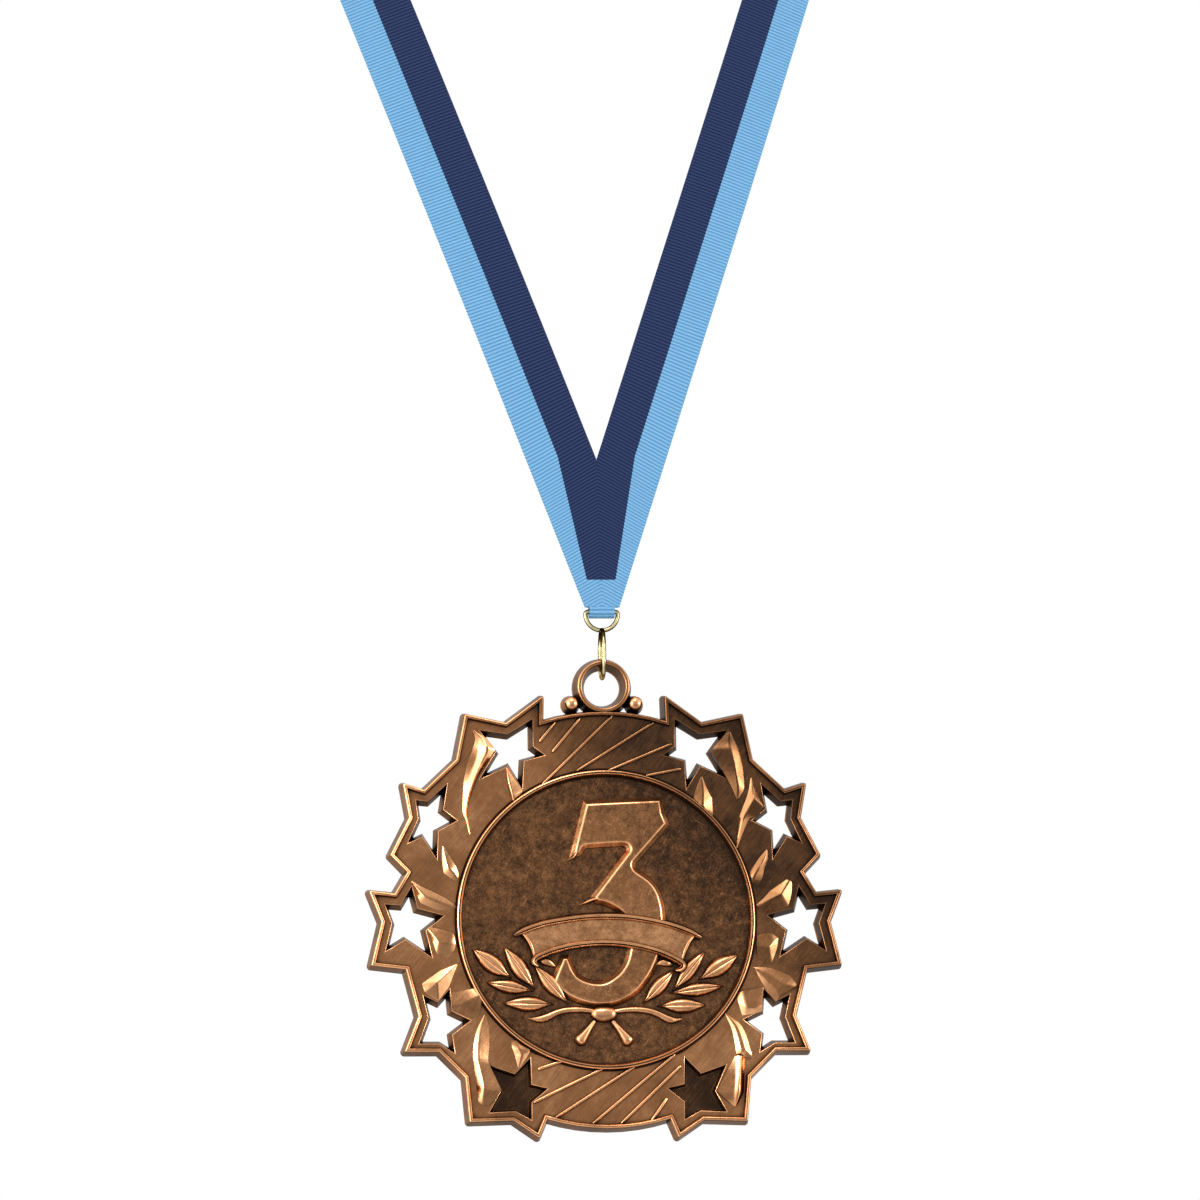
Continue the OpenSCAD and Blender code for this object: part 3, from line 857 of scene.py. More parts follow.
RIBS = [
    (-9.74, 26.74, -7.32, 29.77),
    (-7.78, 25.23, -3.55, 30.37),
    (-9.29, 20.4, 1.28, 30.67),
    (-4.15, 22.36, 7.47, 29.62),
    (0.53, 22.36, 10.19, 26.44),
    (6.27, 21.61, 11.55, 22.67),
    (-10.49, -22.36, -6.87, -21.15),
    (-11.25, -27.35, -0.83, -22.36),
    (-7.93, -29.62, 4.15, -21.91),
    (-2.34, -30.52, 10.04, -20.25),
    (1.89, -30.52, 10.95, -21.91),
    (6.42, -30.22, 8.83, -26.74),
]
RIB_HALF = 0.29
RIB_HEIGHT = 0.45
RIB_END = [(-0.15, 0.08, 0.05), (0.02, 0.2, 0.35)]
RIB_SPOTS = (0.06, 0.35, 0.65, 0.94)
for i, (x0, z0, x1, z1) in enumerate(RIBS):
    start, end = Vector((x0, z0)), Vector((x1, z1))
    way = (end - start).normalized()
    route = [(*(start + way * inside), half, height) for inside, half, height in RIB_END]
    route += [(*(start + (end - start) * f), RIB_HALF, RIB_HEIGHT) for f in RIB_SPOTS]
    route += [(*(end - way * inside), half, height) for inside, half, height in reversed(RIB_END)]
    relief.append(raised(f"rib_{i}", bar_rows(route, PLATE, ROUND), TAIL_FOOT))
print(len(RIBS), "ribs")

# %% [markdown]
# ## The numeral
# The numeral stands on the disc's sunk field. A thin bright line runs round its foot, its wide drafted walls
# are browner, and its upper edge was rubbed. Its outline is straight above and a round bowl below, so smooth
# runs of points are joined to straight ones.

# %% Raising the numeral
FIELD = 2.1
SEAT = 0.02
ROOT = 0.3
NUMERAL_NECK = [
    (4.0, 8.84), (3.85, 8.01), (4.3, 7.18), (5.36, 6.42), (6.72, 5.36), (7.7, 3.78), (8.23, 1.81),
    (8.38, -0.45), (8.15, -3.32), (7.47, -5.59), (6.57, -7.56), (5.36, -9.37), (3.85, -10.88),
    (1.74, -12.01), (-0.53, -12.44), (-2.64, -12.24), (-4.76, -11.56), (-6.57, -10.5), (-7.78, -9.37)]
NUMERAL_BOWL = [
    (-4.61, -8.69), (-2.94, -9.56), (-1.13, -9.82), (0.38, -9.44), (2.04, -8.23), (3.17, -6.65),
    (3.77, -4.53), (3.85, -2.12), (3.4, -0.15), (2.49, 1.36), (0.98, 2.42), (-0.38, 2.95), (-1.74, 3.1)]
NUMERAL_TURN = [(3.77, 10.05), (3.93, 10.8), (3.4, 11.56), (2.49, 11.79)]
NUMERAL = (
    [(-2.64, 17.23), (8.12, 17.75), (8.38, 16.02), (8.98, 14.43)] + smooth_route(NUMERAL_NECK, 3)
    + [(-6.4, -6.0), (-6.0, -5.95)] + smooth_route([(-5.51, -7.25)] + NUMERAL_BOWL[:-1], 3)
    + [(-1.1, 3.05), (-1.4, 3.4), (0.98, 6.5)]
    + smooth_route(NUMERAL_TURN, 3) + [(-3.1, 11.44), (-3.62, 11.03), (-4.0, 10.3), (-4.45, 10.2)])
NUMERAL_DRAFT = 0.8
NUMERAL_STEPS = [
    (0.05, 0.12, 1.4), (0.06, -0.04, 0.4), (0.48, 0.49, 0.62), (0.10, 0.15, 0.85), (0.12, 0.10, 1.0),
    (0.12, 0.05, 0.95), (0.12, 0.02, 0.75)]
NUMERAL_WEAR = 0.5
numeral = stepped("numeral", grown(NUMERAL, NUMERAL_DRAFT), FIELD - SEAT, NUMERAL_STEPS, NUMERAL_WEAR)
relief.append(closed(numeral))
print("numeral with", len(NUMERAL), "corners")

# %% [markdown]
# ## The banner
# An arched banner crosses the numeral. It is left bare. Its long edges are double rolls, and its short ends
# curve in. Little curls of the banner's ends show below it.

# %% Raising the banner
BANNER_TOP = [
    (-13.89, -2.04), (-12.46, -1.36), (-9.89, -0.45), (-6.87, 0.15), (-3.55, 0.6), (-0.08, 0.76),
    (3.4, 0.6), (6.72, 0.11), (9.74, -0.6), (12.46, -1.59), (14.27, -2.49)]
BANNER_FOOT = [
    (-10.3, -6.6), (-10.95, -6.1), (-10.75, -5.55), (-9.89, -5.04), (-8.08, -4.31), (-5.36, -3.63),
    (-2.64, -3.28), (-0.08, -3.2), (2.49, -3.35), (5.51, -3.88), (8.23, -4.68), (10.49, -5.74),
    (11.48, -6.5), (11.2, -7.1), (10.3, -7.3)]
BANNER_LEFT = [(-12.91, -1.74), (-11.93, -2.8), (-11.25, -4.08), (-10.87, -5.59)]
BANNER_RIGHT = [(13.44, -2.19), (12.46, -3.32), (11.78, -4.68), (11.3, -6.2)]
BANNER = (
    smooth_route(BANNER_TOP[1:-1], 2) + smooth_route(BANNER_RIGHT, 3)
    + smooth_route(list(reversed(BANNER_FOOT[3:-3])), 2) + smooth_route(list(reversed(BANNER_LEFT)), 3))
BANNER_DRAFT = 0.45
BANNER_STEPS = [
    (0.06, 0.14, 0.6), (0.05, -0.03, 0.1), (0.26, 0.76, 0.0), (0.05, 0.06, 0.9), (0.05, 0.02, 1.0)]
BANNER_WEAR = 0.74
banner = stepped("banner", grown(BANNER, BANNER_DRAFT), FIELD - SEAT, BANNER_STEPS, BANNER_WEAR)
relief.append(closed(banner))
print("banner with", len(BANNER), "corners")

# %% Rolled edges and curls
DOUBLE = [(-1.0, 0.0), (-0.86, 0.5), (-0.6, 0.78), (-0.3, 0.62), (-0.16, 0.5), (0.0, 0.86), (0.3, 1.0),
          (0.66, 0.93), (0.92, 0.5), (1.0, 0.0)]
ROLL_DOWN = 0.32
ROLL_END = 0.35
TOP_GROUND, END_GROUND = 2.85, 2.88


def bar(name, points, halves, heights, ground=FIELD, profile=ROUND, wear_low=0.05):
    """Raises a rounded bar in the disc's field, along a smooth route through the points."""
    route = [(x, z, half, height) for (x, z), half, height in zip(points, halves, heights)]
    relief.append(raised(name, bar_rows(smooth_route(route, 4), ground, profile), FIELD - ROOT, wear_low))


def roll(name, points, half, height, ground=FIELD, profile=ROUND):
    """A bar of one width, apart from its tapered ends."""
    shares = [ROLL_END] + [1.0] * (len(points) - 2) + [ROLL_END]
    bar(name, points, [half * share for share in shares], [height * share for share in shares],
        ground, profile, 0.0)


for name, edge in (("banner_top_roll", BANNER_TOP), ("banner_foot_roll", BANNER_FOOT)):
    roll(name, [(x, z - ROLL_DOWN) for x, z in edge], 0.5, 0.62, TOP_GROUND, DOUBLE)
for name, edge in (("banner_left_edge", BANNER_LEFT), ("banner_right_edge", BANNER_RIGHT)):
    roll(name, edge, 0.26, 0.32, END_GROUND)
roll("curl_left", [(-10.3, -6.0), (-9.5, -6.15), (-8.6, -6.4), (-7.7, -7.0)], 0.6, 0.62)
roll("curl_right", [(7.5, -6.7), (8.4, -6.4), (9.2, -6.5), (10.1, -6.8)], 0.6, 0.62)
print("the relief has", len(relief), "forms so far")

# %% [markdown]
# ## Laurel
# Two sprays lie under the numeral. A leaf has a swelling on each side of its midrib. One pair of tables
# shapes every leaf: it is stretched, turned and set between the leaf's foot and its tip.

# %% One leaf
LEAF_ACROSS = [(-1.0, 0.0), (-0.9, 0.36), (-0.72, 0.7), (-0.5, 0.92), (-0.3, 0.98), (-0.1, 0.9), (0.0, 0.8),
               (0.1, 0.9), (0.3, 0.98), (0.5, 0.92), (0.72, 0.7), (0.9, 0.36), (1.0, 0.0)]
LEAF_ALONG = [(0.0, 0.06, 0.3), (0.08, 0.16, 0.55), (0.16, 0.36, 0.7), (0.26, 0.68, 0.9), (0.38, 0.92, 1.0),
              (0.5, 1.0, 1.02), (0.62, 0.96, 1.0), (0.74, 0.78, 0.92), (0.86, 0.48, 0.78), (0.95, 0.2, 0.6),
              (1.0, 0.04, 0.4)]
LEAF_HEIGHT = 1.05


def leaf_rows(foot, tip, half):
    """Rows of a leaf between its foot and its tip."""
    foot, tip = Vector(foot), Vector(tip)
    side = Vector((-(tip - foot).y, (tip - foot).x)).normalized()
    rows = []
    for along, wide, high in LEAF_ALONG:
        middle = foot.lerp(tip, along)
        rows.append([
            (*(middle + side * half * wide * u), FIELD + LEAF_HEIGHT * high * v) for u, v in LEAF_ACROSS])
    return rows


LEAVES = [
    ((-14.27, -8.76), (-20.08, -4.38), 1.42), ((-10.72, -10.43), (-15.33, -4.08), 1.35),
    ((-10.95, -10.65), (-18.04, -9.37), 1.12), ((-7.93, -12.62), (-15.55, -12.47), 1.25),
    ((-5.74, -12.62), (-10.8, -6.88), 1.25),
    ((13.82, -9.07), (19.86, -5.29), 1.4), ((9.89, -10.73), (14.87, -4.68), 1.15),
    ((9.44, -11.03), (17.59, -9.97), 1.1), ((7.63, -12.92), (14.87, -12.84), 1.25),
    ((5.36, -12.62), (10.19, -7.56), 1.15)]
for i, (foot, tip, half) in enumerate(LEAVES):
    relief.append(raised(f"leaf_{i}", leaf_rows(foot, tip, half), FIELD - ROOT, 0.1, 0.95))
print(len(LEAVES), "leaves")

# %% Branches, knot and tails, and the numeral's two hooks
BOW_LEFT = [(-1.9, -13.7), (-3.85, -13.45), (-5.96, -13.5), (-7.47, -13.85), (-8.83, -14.45), (-9.9, -14.8),
            (-10.8, -14.85), (-11.8, -14.75)]
BOW_RIGHT = [(1.0, -13.7), (3.7, -13.45), (5.96, -13.6), (7.47, -14.05), (8.7, -14.65), (9.6, -15.0),
             (10.4, -15.0), (11.4, -14.85)]
TAIL_LEFT = [(-1.9, -15.2), (-2.75, -16.3), (-3.55, -17.4), (-4.15, -18.15), (-4.55, -18.6)]
TAIL_RIGHT = [(0.8, -15.2), (1.8, -16.4), (2.65, -17.5), (3.25, -18.25), (3.65, -18.7)]
KNOT = [(-2.35, -14.1), (-1.75, -14.1), (-0.45, -14.15), (0.85, -14.1), (1.4, -14.1)]
BRANCH = (0.4, 0.48, 0.52, 0.54, 0.6, 0.62, 0.42, 0.1), (0.7, 0.75, 0.75, 0.75, 0.75, 0.7, 0.5, 0.2)
BOW_TAIL = (0.4, 0.55, 0.8, 0.95, 0.5), (0.75, 0.9, 1.0, 0.9, 0.2)
bar("bow_left", BOW_LEFT, *BRANCH)
bar("bow_right", BOW_RIGHT, *BRANCH)
bar("bow_tail_left", TAIL_LEFT, *BOW_TAIL)
bar("bow_tail_right", TAIL_RIGHT, *BOW_TAIL)
bar("knot", KNOT, (0.55, 1.05, 1.28, 1.05, 0.55), (0.6, 1.05, 1.2, 1.05, 0.6))
HOOK_HIGH = [(-4.15, 10.6), (-4.5, 9.8), (-4.9, 9.3), (-6.1, 8.85)]
HOOK_LOW = [(-0.9, 3.2), (-1.9, 3.05), (-2.9, 2.65), (-4.3, 2.1)]
bar("numeral_hook_high", HOOK_HIGH, (0.3, 0.28, 0.24, 0.05), (0.85, 0.7, 0.4, 0.08))
bar("numeral_hook_low", HOOK_LOW, (0.3, 0.3, 0.26, 0.05), (0.85, 0.75, 0.5, 0.08))
print("the relief has", len(relief), "forms so far")

# %% [markdown]
# ## The hanging ring and its beads
# The ring is turned work: a profile spun once round its axis. It is wide at the back and narrow in front,
# because it is cast with the plate. The beads are balls that stand in a short cone.

# %% Spinning the ring
RING_UP = 35.05
RING_STEPS = 72
RING_INSET = 0.04
RING_PROFILE = [
    (4.5, RING_INSET, 0.42), (3.98, 3.0, 0.48), (3.93, 3.3, 0.9), (3.82, 3.45, 1.0), (3.68, 3.5, 0.85),
    (3.58, 3.46, 0.8), (3.48, 3.5, 1.0), (3.36, 3.45, 1.0), (3.28, 3.3, 0.6), (3.24, 3.0, 0.5),
    (2.65, RING_INSET, 0.5)]


def ring_wear(face):
    """The wear of the corner of the profile that lies nearest."""
    spot = face.calc_center_median() / MM - DISC_BACK
    radius = math.hypot(spot.x, spot.z - RING_UP)
    return min(RING_PROFILE, key=lambda p: abs(p[0] - radius) + abs(p[1] + spot.y))[2]


hanger = die_form("hanging_ring", "circle", vertices=len(RING_PROFILE), radius=MM, fill_type="NOTHING")
for vertex, (radius, height, wear) in zip(hanger.data.vertices, RING_PROFILE):
    vertex.co = at(radius, RING_UP, height)
with editing(hanger):
    bpy.ops.mesh.spin(steps=RING_STEPS, angle=2 * math.pi, center=at(0, RING_UP, 0), axis=(0, 1, 0))
    select_all()
    merge()
    turn_outward()
    note_wear(ring_wear)
relief.append(hanger)

# %% The beads
BEAD_AT = (4.8, 32.5)
BEAD_RADIUS = 1.12
BEAD_HEIGHT = 2.45
CONE_FOOT, CONE_TOP = 0.04, 2.7
LAID_DOWN = (math.pi / 2, 0, 0)
for side in (-1, 1):
    cone = die_form(
        "bead_cone", "cone", vertices=32, radius1=(BEAD_RADIUS + 0.35) * MM, radius2=BEAD_RADIUS * 0.9 * MM,
        depth=(CONE_TOP - CONE_FOOT) * MM, rotation=LAID_DOWN,
        location=at(side * BEAD_AT[0], BEAD_AT[1], (CONE_FOOT + CONE_TOP) / 2))
    ball = die_form(
        "bead_ball", "uv_sphere", segments=32, ring_count=20, radius=BEAD_RADIUS * MM, rotation=LAID_DOWN,
        location=at(side * BEAD_AT[0], BEAD_AT[1], BEAD_HEIGHT))
    # The cones' back faces take less wear: a painted shade on a side that catches much light.
    relief += [
        worn(cone, lambda forward: 0.4 if forward < -0.5 else 0.8),
        worn(ball, lambda forward: 0.7 + 0.6 * max(0.0, forward))]

# %% [markdown]
# ## Joining the casting
# All of this is one casting, so it becomes one object, and its faces are shaded smooth across soft bends and
# flat across sharp ones. Weighted normals keep the big flat faces flat next to their rounded edges.

# %% One casting
CASTING_CREASE = math.radians(46)
casting = joined("casting", [plate] + relief)
choose(casting)
bpy.ops.object.shade_smooth_by_angle(angle=CASTING_CREASE)
modified(casting, "WEIGHTED_NORMAL", keep_sharp=True, weight=80)
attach(casting, "medal")
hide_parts("star_medal")
print("the casting has", len(casting.data.polygons), "faces")

# %% [markdown]
# ## The clip
# One brass wire is bent to a D round the ribbon's bar and to a long link through the medal's ring. A wire is
# a circle that is swept: extruded along the straight runs and spun round the bends. A small ball fills the
# place where the D and the link meet.

# %% Bending wire
WIRE = 0.66
D_RADIUS = 2.425
D_MIDDLE = -0.4
CORNER = 0.35
LINK_RADIUS = 2.525
LINK_HEAD = -5.35
LINK_FOOT = -7.5
JOINT_RADIUS = 0.47
WIRE_CORNERS = 20


def bar_spot(x, y, z):
    """A spot to the right of, behind and above the middle of the clip's bar, in mm."""
    return (CLIP_BAR + Vector((x, y, z))) * MM


@contextmanager
def bending(name, start):
    """A wire that begins as a circle round a spot and is swept by what follows."""
    wire = basic(
        name, "circle", vertices=WIRE_CORNERS, radius=WIRE / 2 * MM, fill_type="NOTHING",
        location=bar_spot(*start))
    with editing(wire):
        yield wire
        select_all()
        merge(3e-6)
        turn_outward()


def run(length, along="z"):
    way = (length * MM, 0, 0) if along == "x" else (0, 0, length * MM)
    bpy.ops.mesh.extrude_region_move(TRANSFORM_OT_translate={"value": way})


def bend(middle, axis, angle, steps=48):
    bpy.ops.mesh.spin(steps=steps, angle=math.radians(angle), center=bar_spot(*middle), axis=axis)


straight = D_RADIUS - CORNER
with bending("d_loop", (-D_RADIUS, 0, D_MIDDLE)) as d_loop:
    bend((0, 0, D_MIDDLE), (0, 1, 0), 180)
    run(-CORNER - D_MIDDLE)
    bend((straight, 0, -CORNER), (0, 1, 0), 90, 10)
    run(-2 * straight, "x")
    bend((-straight, 0, -CORNER), (0, 1, 0), 90, 10)
    run(CORNER + D_MIDDLE)
with bending("link", (0, -LINK_RADIUS, LINK_FOOT)) as link:
    bend((0, 0, LINK_FOOT), (1, 0, 0), -180)
    run(LINK_HEAD - LINK_FOOT)
    bend((0, 0, LINK_HEAD), (1, 0, 0), -180)
    run(LINK_FOOT - LINK_HEAD)
joint = basic(
    "joint", "uv_sphere", segments=24, ring_count=16, radius=JOINT_RADIUS * MM,
    location=bar_spot(0, -0.1, -2.9))
clip = joined("wire_clip", [d_loop, link, joint])
bpy.ops.object.shade_smooth()
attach(clip, "clip")
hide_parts("ribbon_clip")
corners = [v.co / MM for v in clip.data.vertices]
print("clip box", [[round(end(c[i] for c in corners), 2) for i in range(3)] for end in (min, max)])

# %% [markdown]
# ## The ribbon
# Laid out flat the ribbon is straight. Round a neck it lies on a cone, so each spot is laid out first and
# then rolled on to the cone. The rows of its grid follow the grosgrain's ribs, two rows for each rib, and
# the cloth is thicker on a rib than between two. The halves meet in a seam down the middle of the point,
# and there the ribs slant a little. A short end of ribbon goes round the clip's bar and up behind the point.

# %% Laying out and rolling up
RIBBON_WIDTH = 10.0
CAD_CLOTH = 1.0
LOOP = 812.0
STRAP_ANGLE = math.radians(18.6)
CHEST_LEAN = math.radians(13.2)
POINT_DROP = 8.4
POINT_START = 0.4 - POINT_DROP
RIB_PITCH = 0.533
CLOTH = 0.55
CONE_HALF = math.asin((math.pi - 2 * STRAP_ANGLE) / (2 * math.pi))
TIP_TO_POINT = LOOP / (2 * math.cos(STRAP_ANGLE))
CONE_TILT = CONE_HALF - CHEST_LEAN


def rolled(u, v, proud):
    """A spot of the laid-out ribbon on the cone: u across the middle line, v up it, proud of the cloth."""
    reach = math.hypot(u, TIP_TO_POINT - v)
    turn = max(-math.pi, min(math.pi, math.atan2(u, TIP_TO_POINT - v) / math.sin(CONE_HALF)))
    out = reach * math.sin(CONE_HALF) + proud * math.cos(CONE_HALF)
    down = reach * math.cos(CONE_HALF) - proud * math.sin(CONE_HALF)
    y, z = -out * math.cos(turn), -down
    return Vector((
        out * math.sin(turn),
        y * math.cos(CONE_TILT) - z * math.sin(CONE_TILT),
        y * math.sin(CONE_TILT) + z * math.cos(CONE_TILT)))


half_loop = LOOP / 2
nape = rolled(half_loop * math.sin(STRAP_ANGLE), half_loop * math.cos(STRAP_ANGLE), -CAD_CLOTH / 2)
nape.x = 0


def laid(s, t):
    """From along and across a strap to across and up the middle line."""
    return (s * math.sin(STRAP_ANGLE) + t * math.cos(STRAP_ANGLE),
            s * math.cos(STRAP_ANGLE) - t * math.sin(STRAP_ANGLE))


print("straps' point", [round(c, 3) for c in rolled(0, 0, 0) - nape])

# %% A grid of cloth
GAP_SHARE = 0.72


def cloth(name, columns, spots):
    """A grid whose points lie at their spots, and which keeps where each lies in the weave and on the table.

    A spot is its place in mm, its place in the weave, its place on the cutting table, and whether it lies on
    a rib.
    """
    piece = basic(
        name, "grid", x_subdivisions=columns - 1, y_subdivisions=len(spots) // columns - 1, size=MM)
    mesh = piece.data
    mesh.uv_layers[0].name = "weave"
    mesh.uv_layers.new(name="table")
    weave, table = mesh.uv_layers["weave"].data, mesh.uv_layers["table"].data
    mesh.vertices.foreach_set("co", [c * MM for spot, *rest in spots for c in spot])
    for loop in mesh.loops:
        weave[loop.index].uv, table[loop.index].uv = spots[loop.vertex_index][1:3]
    thick = piece.vertex_groups.new(name="rib")
    for on_rib, share in ((True, 1.0), (False, GAP_SHARE)):
        thick.add([i for i, spot in enumerate(spots) if spot[3] == on_rib], share, "REPLACE")
    mesh.update()
    return piece


# %% The straps
ACROSS = (0.0, 0.05, 0.16, 0.33, 0.5, 0.67, 0.84, 0.95, 1.0)
SEAM_DIP = 0.1
POINT_SKEW = 0.22
SKEW_FROM, SKEW_TO = 14.0, 45.0
RIB_OUT, GAP_OUT = 0.05, -0.03
SEAM_HALF = 0.35
lowest = POINT_START * math.cos(STRAP_ANGLE)
meeting = RIBBON_WIDTH / 2 / math.tan(STRAP_ANGLE)
rib_rows = int((half_loop - lowest) / (RIB_PITCH / 2))
row_gap = (half_loop - lowest) / rib_rows


def strap_row(i, side):
    """The spots of one row of a half."""
    s = lowest + i * row_gap
    fade = clamped((s - SKEW_FROM) / (SKEW_TO - SKEW_FROM))
    skew = POINT_SKEW * (1 - fade * fade * (3 - 2 * fade))
    inner = max(-RIBBON_WIDTH / 2, -s * math.tan(STRAP_ANGLE))
    outer = RIBBON_WIDTH / 2 + (RIB_OUT if i % 2 == 0 else GAP_OUT)
    cos_a, sin_a = math.cos(STRAP_ANGLE), math.sin(STRAP_ANGLE)
    on_foot = ((s + skew * inner) * cos_a - POINT_START) / (sin_a + skew * cos_a)
    outer = max(inner, min(outer, on_foot))
    row = []
    for share in ACROSS:
        t = inner + (outer - inner) * share
        u, v = laid(s - skew * (t - inner), t)
        dip = SEAM_DIP * math.exp(-u / SEAM_HALF) if s < meeting else 0.0
        row.append((rolled(side * u, v, -dip) - nape, (t, s), (u, v), i % 2 == 0))
    return row


halves = [
    cloth(name, len(ACROSS), [spot for i in range(rib_rows + 1) for spot in strap_row(i, side)])
    for name, side in (("left_half", -1), ("right_half", 1))]
print("each half has", rib_rows, "rows")

# %% The fold round the bar and the tab behind the point
FOLD_HALF = 1.9
FOLD_ACROSS = (-1.0, -0.9, -0.5, 0.0, 0.5, 0.9, 1.0)
FOLD_OUT, FOLD_UNDER, FOLD_STEPS = 0.86, 0.72, 14
WEAVE_FROM = -20.0
FRONT = 0.455 + CAD_CLOTH / 2
up_strap = Vector((0, math.sin(CHEST_LEAN), math.cos(CHEST_LEAN)))
out_of_strap = Vector((0, -math.cos(CHEST_LEAN), math.sin(CHEST_LEAN)))
route = [(FRONT - 0.12, 2.2), (FRONT - 0.12, 1.2), (FRONT - 0.06, 0.6), (FRONT - 0.04, 0.0)]
angles = [math.pi * k / FOLD_STEPS for k in range(1, FOLD_STEPS)]
route += [(FOLD_OUT * math.cos(a), -FOLD_UNDER * math.sin(a)) for a in angles]
route += [(-0.8, 0.0), (-0.7, 0.8), (-0.2, 2.4), (0.3, 4.2), (0.4, 6.0), (0.4, 9.0), (0.4, 12.0)]
fine_route = smooth_route(route, 8)
lengths = [0.0]
for a, b in zip(fine_route, fine_route[1:]):
    lengths.append(lengths[-1] + math.dist(a, b))
fold_rows = int(lengths[-1] / (RIB_PITCH / 2))
spots = []
for i in range(fold_rows + 1):
    reach = lengths[-1] * i / fold_rows
    k = next((n for n, length in enumerate(lengths) if length > reach), len(lengths)) - 1
    k = max(0, min(len(lengths) - 2, k))
    share = (reach - lengths[k]) / max(1e-9, lengths[k + 1] - lengths[k])
    out, up = (here + (there - here) * share for here, there in zip(fine_route[k], fine_route[k + 1]))
    for across in FOLD_ACROSS:
        place = CLIP_BAR + Vector((across * FOLD_HALF, 0, 0)) + up_strap * up + out_of_strap * out
        spots.append((place, (3.0 + across, WEAVE_FROM - reach), (across, WEAVE_FROM - reach), i % 2 == 0))
fold = cloth("fold", len(FOLD_ACROSS), spots)
print("the fold is", round(lengths[-1], 1), "mm of ribbon")

# %% One cloth
CLOTH_CREASE = math.radians(60)
ribbon = joined("ribbon", halves + [fold])
with editing(ribbon):
    merge(5e-6)
    turn_outward()
modified(ribbon, "SOLIDIFY", thickness=CLOTH * MM, offset=0, vertex_group="rib")
bpy.ops.object.shade_smooth_by_angle(angle=CLOTH_CREASE)
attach(ribbon, "ribbon")
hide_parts("neck_ribbon")
print("the ribbon has", len(ribbon.data.polygons), "faces")

# %% [markdown]
# ## The antique bronze
# The casting is plated with warm bronze, dipped until it is nearly black, and then rubbed. Flat faces keep
# a brown veil, edges come back bright, and walls and corners stay dark. The finish adds up the rubbing noted
# on the faces, the depth of each corner from ambient occlusion, and painted light that makes the colour
# brighter towards the lower left and darker towards the upper right.
# Noise of several sizes makes clouds, grain and specks, and drawn-out noise makes brush marks and scratches.
# The disc is more mottled and speckled than the plate. A thin lacquer lies over it all.

# %% Noise and corners of the bronze
bronze = Finish("antique_bronze", specular_tint=(0.50, 0.45, 0.41, 1), coat_weight=0.15, coat_roughness=0.12)
in_mm = bronze.in_millimetres(Location=tuple(-DISC_BACK))
x = bronze.node("SeparateXYZ", (), {0: in_mm})
y, z = x.part("Y"), x.part("Z")
wear = bronze.node("Attribute", {"attribute_name": WEAR}, output="Fac")
OWN_CORNERS = {"only_local": True, "samples": 8}
open_near, open_wide = (
    bronze.node("AmbientOcclusion", OWN_CORNERS, {"Distance": reach * MM}, output="AO")
    for reach in (0.9, 3.0))
clouds = bronze.noise(in_mm, 0.16, 3.0, 0.55)
patches = bronze.noise(in_mm, 0.5, 3.0, 0.6)
mottle = bronze.noise(in_mm, 1.3, 4.0, 0.65)
specks = bronze.noise(in_mm, 3.2, 2.0, 0.7).spread(0.60, 0.70)
grain = bronze.noise(in_mm, 6.0, 2.0, 0.6)


def streaks(angle, along=0.25, across=6.0, scale=1.0, detail=1.0):
    """Noise that is drawn out along a direction, in degrees from the horizontal."""
    turned = bronze.node("Mapping", (), {"Vector": in_mm, "Rotation": (0, math.radians(angle), 0)})
    drawn_out = bronze.node("Mapping", (), {"Vector": turned, "Scale": (along, 1.0, across)})
    return bronze.noise(drawn_out, scale, detail, 0.65)


brush = streaks(52, 0.16, 3.5, 1.2, 3.0)
scratches = streaks(64).spread(0.66, 0.72) + streaks(-28).spread(0.68, 0.74)

# %% Rubbing the bronze, with a painted light side
DARK = (0.036, 0.016, 0.007, 1)
BROWN = (0.40, 0.178, 0.072, 1)
BRIGHT = (1.0, 0.50, 0.235, 1)
DISC_EDGE, SHADOW_SIDE = (22.4, 21.6), (4.0, 23.0)
from_middle = (x * x + z * z) ** 0.5
forward = y * -1.0
front = forward.spread(0.3, 0.7)
in_disc = from_middle.spread(*DISC_EDGE) * front
# Painted light: front faces are painted lighter towards the lower left and shaded towards the upper right.
lit_side = 1.0 - ((x + z) * 0.707).spread(*SHADOW_SIDE) * front
recess = open_near.spread(0.25, 0.95) * open_wide.spread(0.1, 0.9, 0.45, 1.0)
cloudy = (clouds - 0.5) * 0.75 * (1.0 - in_disc * 0.7) + (patches - 0.5) * 0.85 * in_disc
texture = (
    (mottle - 0.5) * (0.35 + in_disc * 0.35) + (brush - 0.5) * 0.45 * (1.0 - in_disc * 0.7)
    + (grain - 0.5) * (0.15 + in_disc * 0.7))
# The rubbing noted on the faces is summed with clouds and with the painted light side.
rubbing_and_painted_light = wear + cloudy + (lit_side - 0.7) * 0.5 * (1.0 - in_disc * 0.55)
rubbing_and_painted_light = rubbing_and_painted_light + texture * wear.spread(0.65, 0.95, 1.0, 0.35)
rubbing_and_painted_light = rubbing_and_painted_light + (specks * 0.3 + scratches * 0.32) * in_disc * wear.spread(0.5, 0.7, 1.0, 0.3)
rubbing_and_painted_light = rubbing_and_painted_light * recess.spread(0.0, 1.0, 0.1, 1.0)
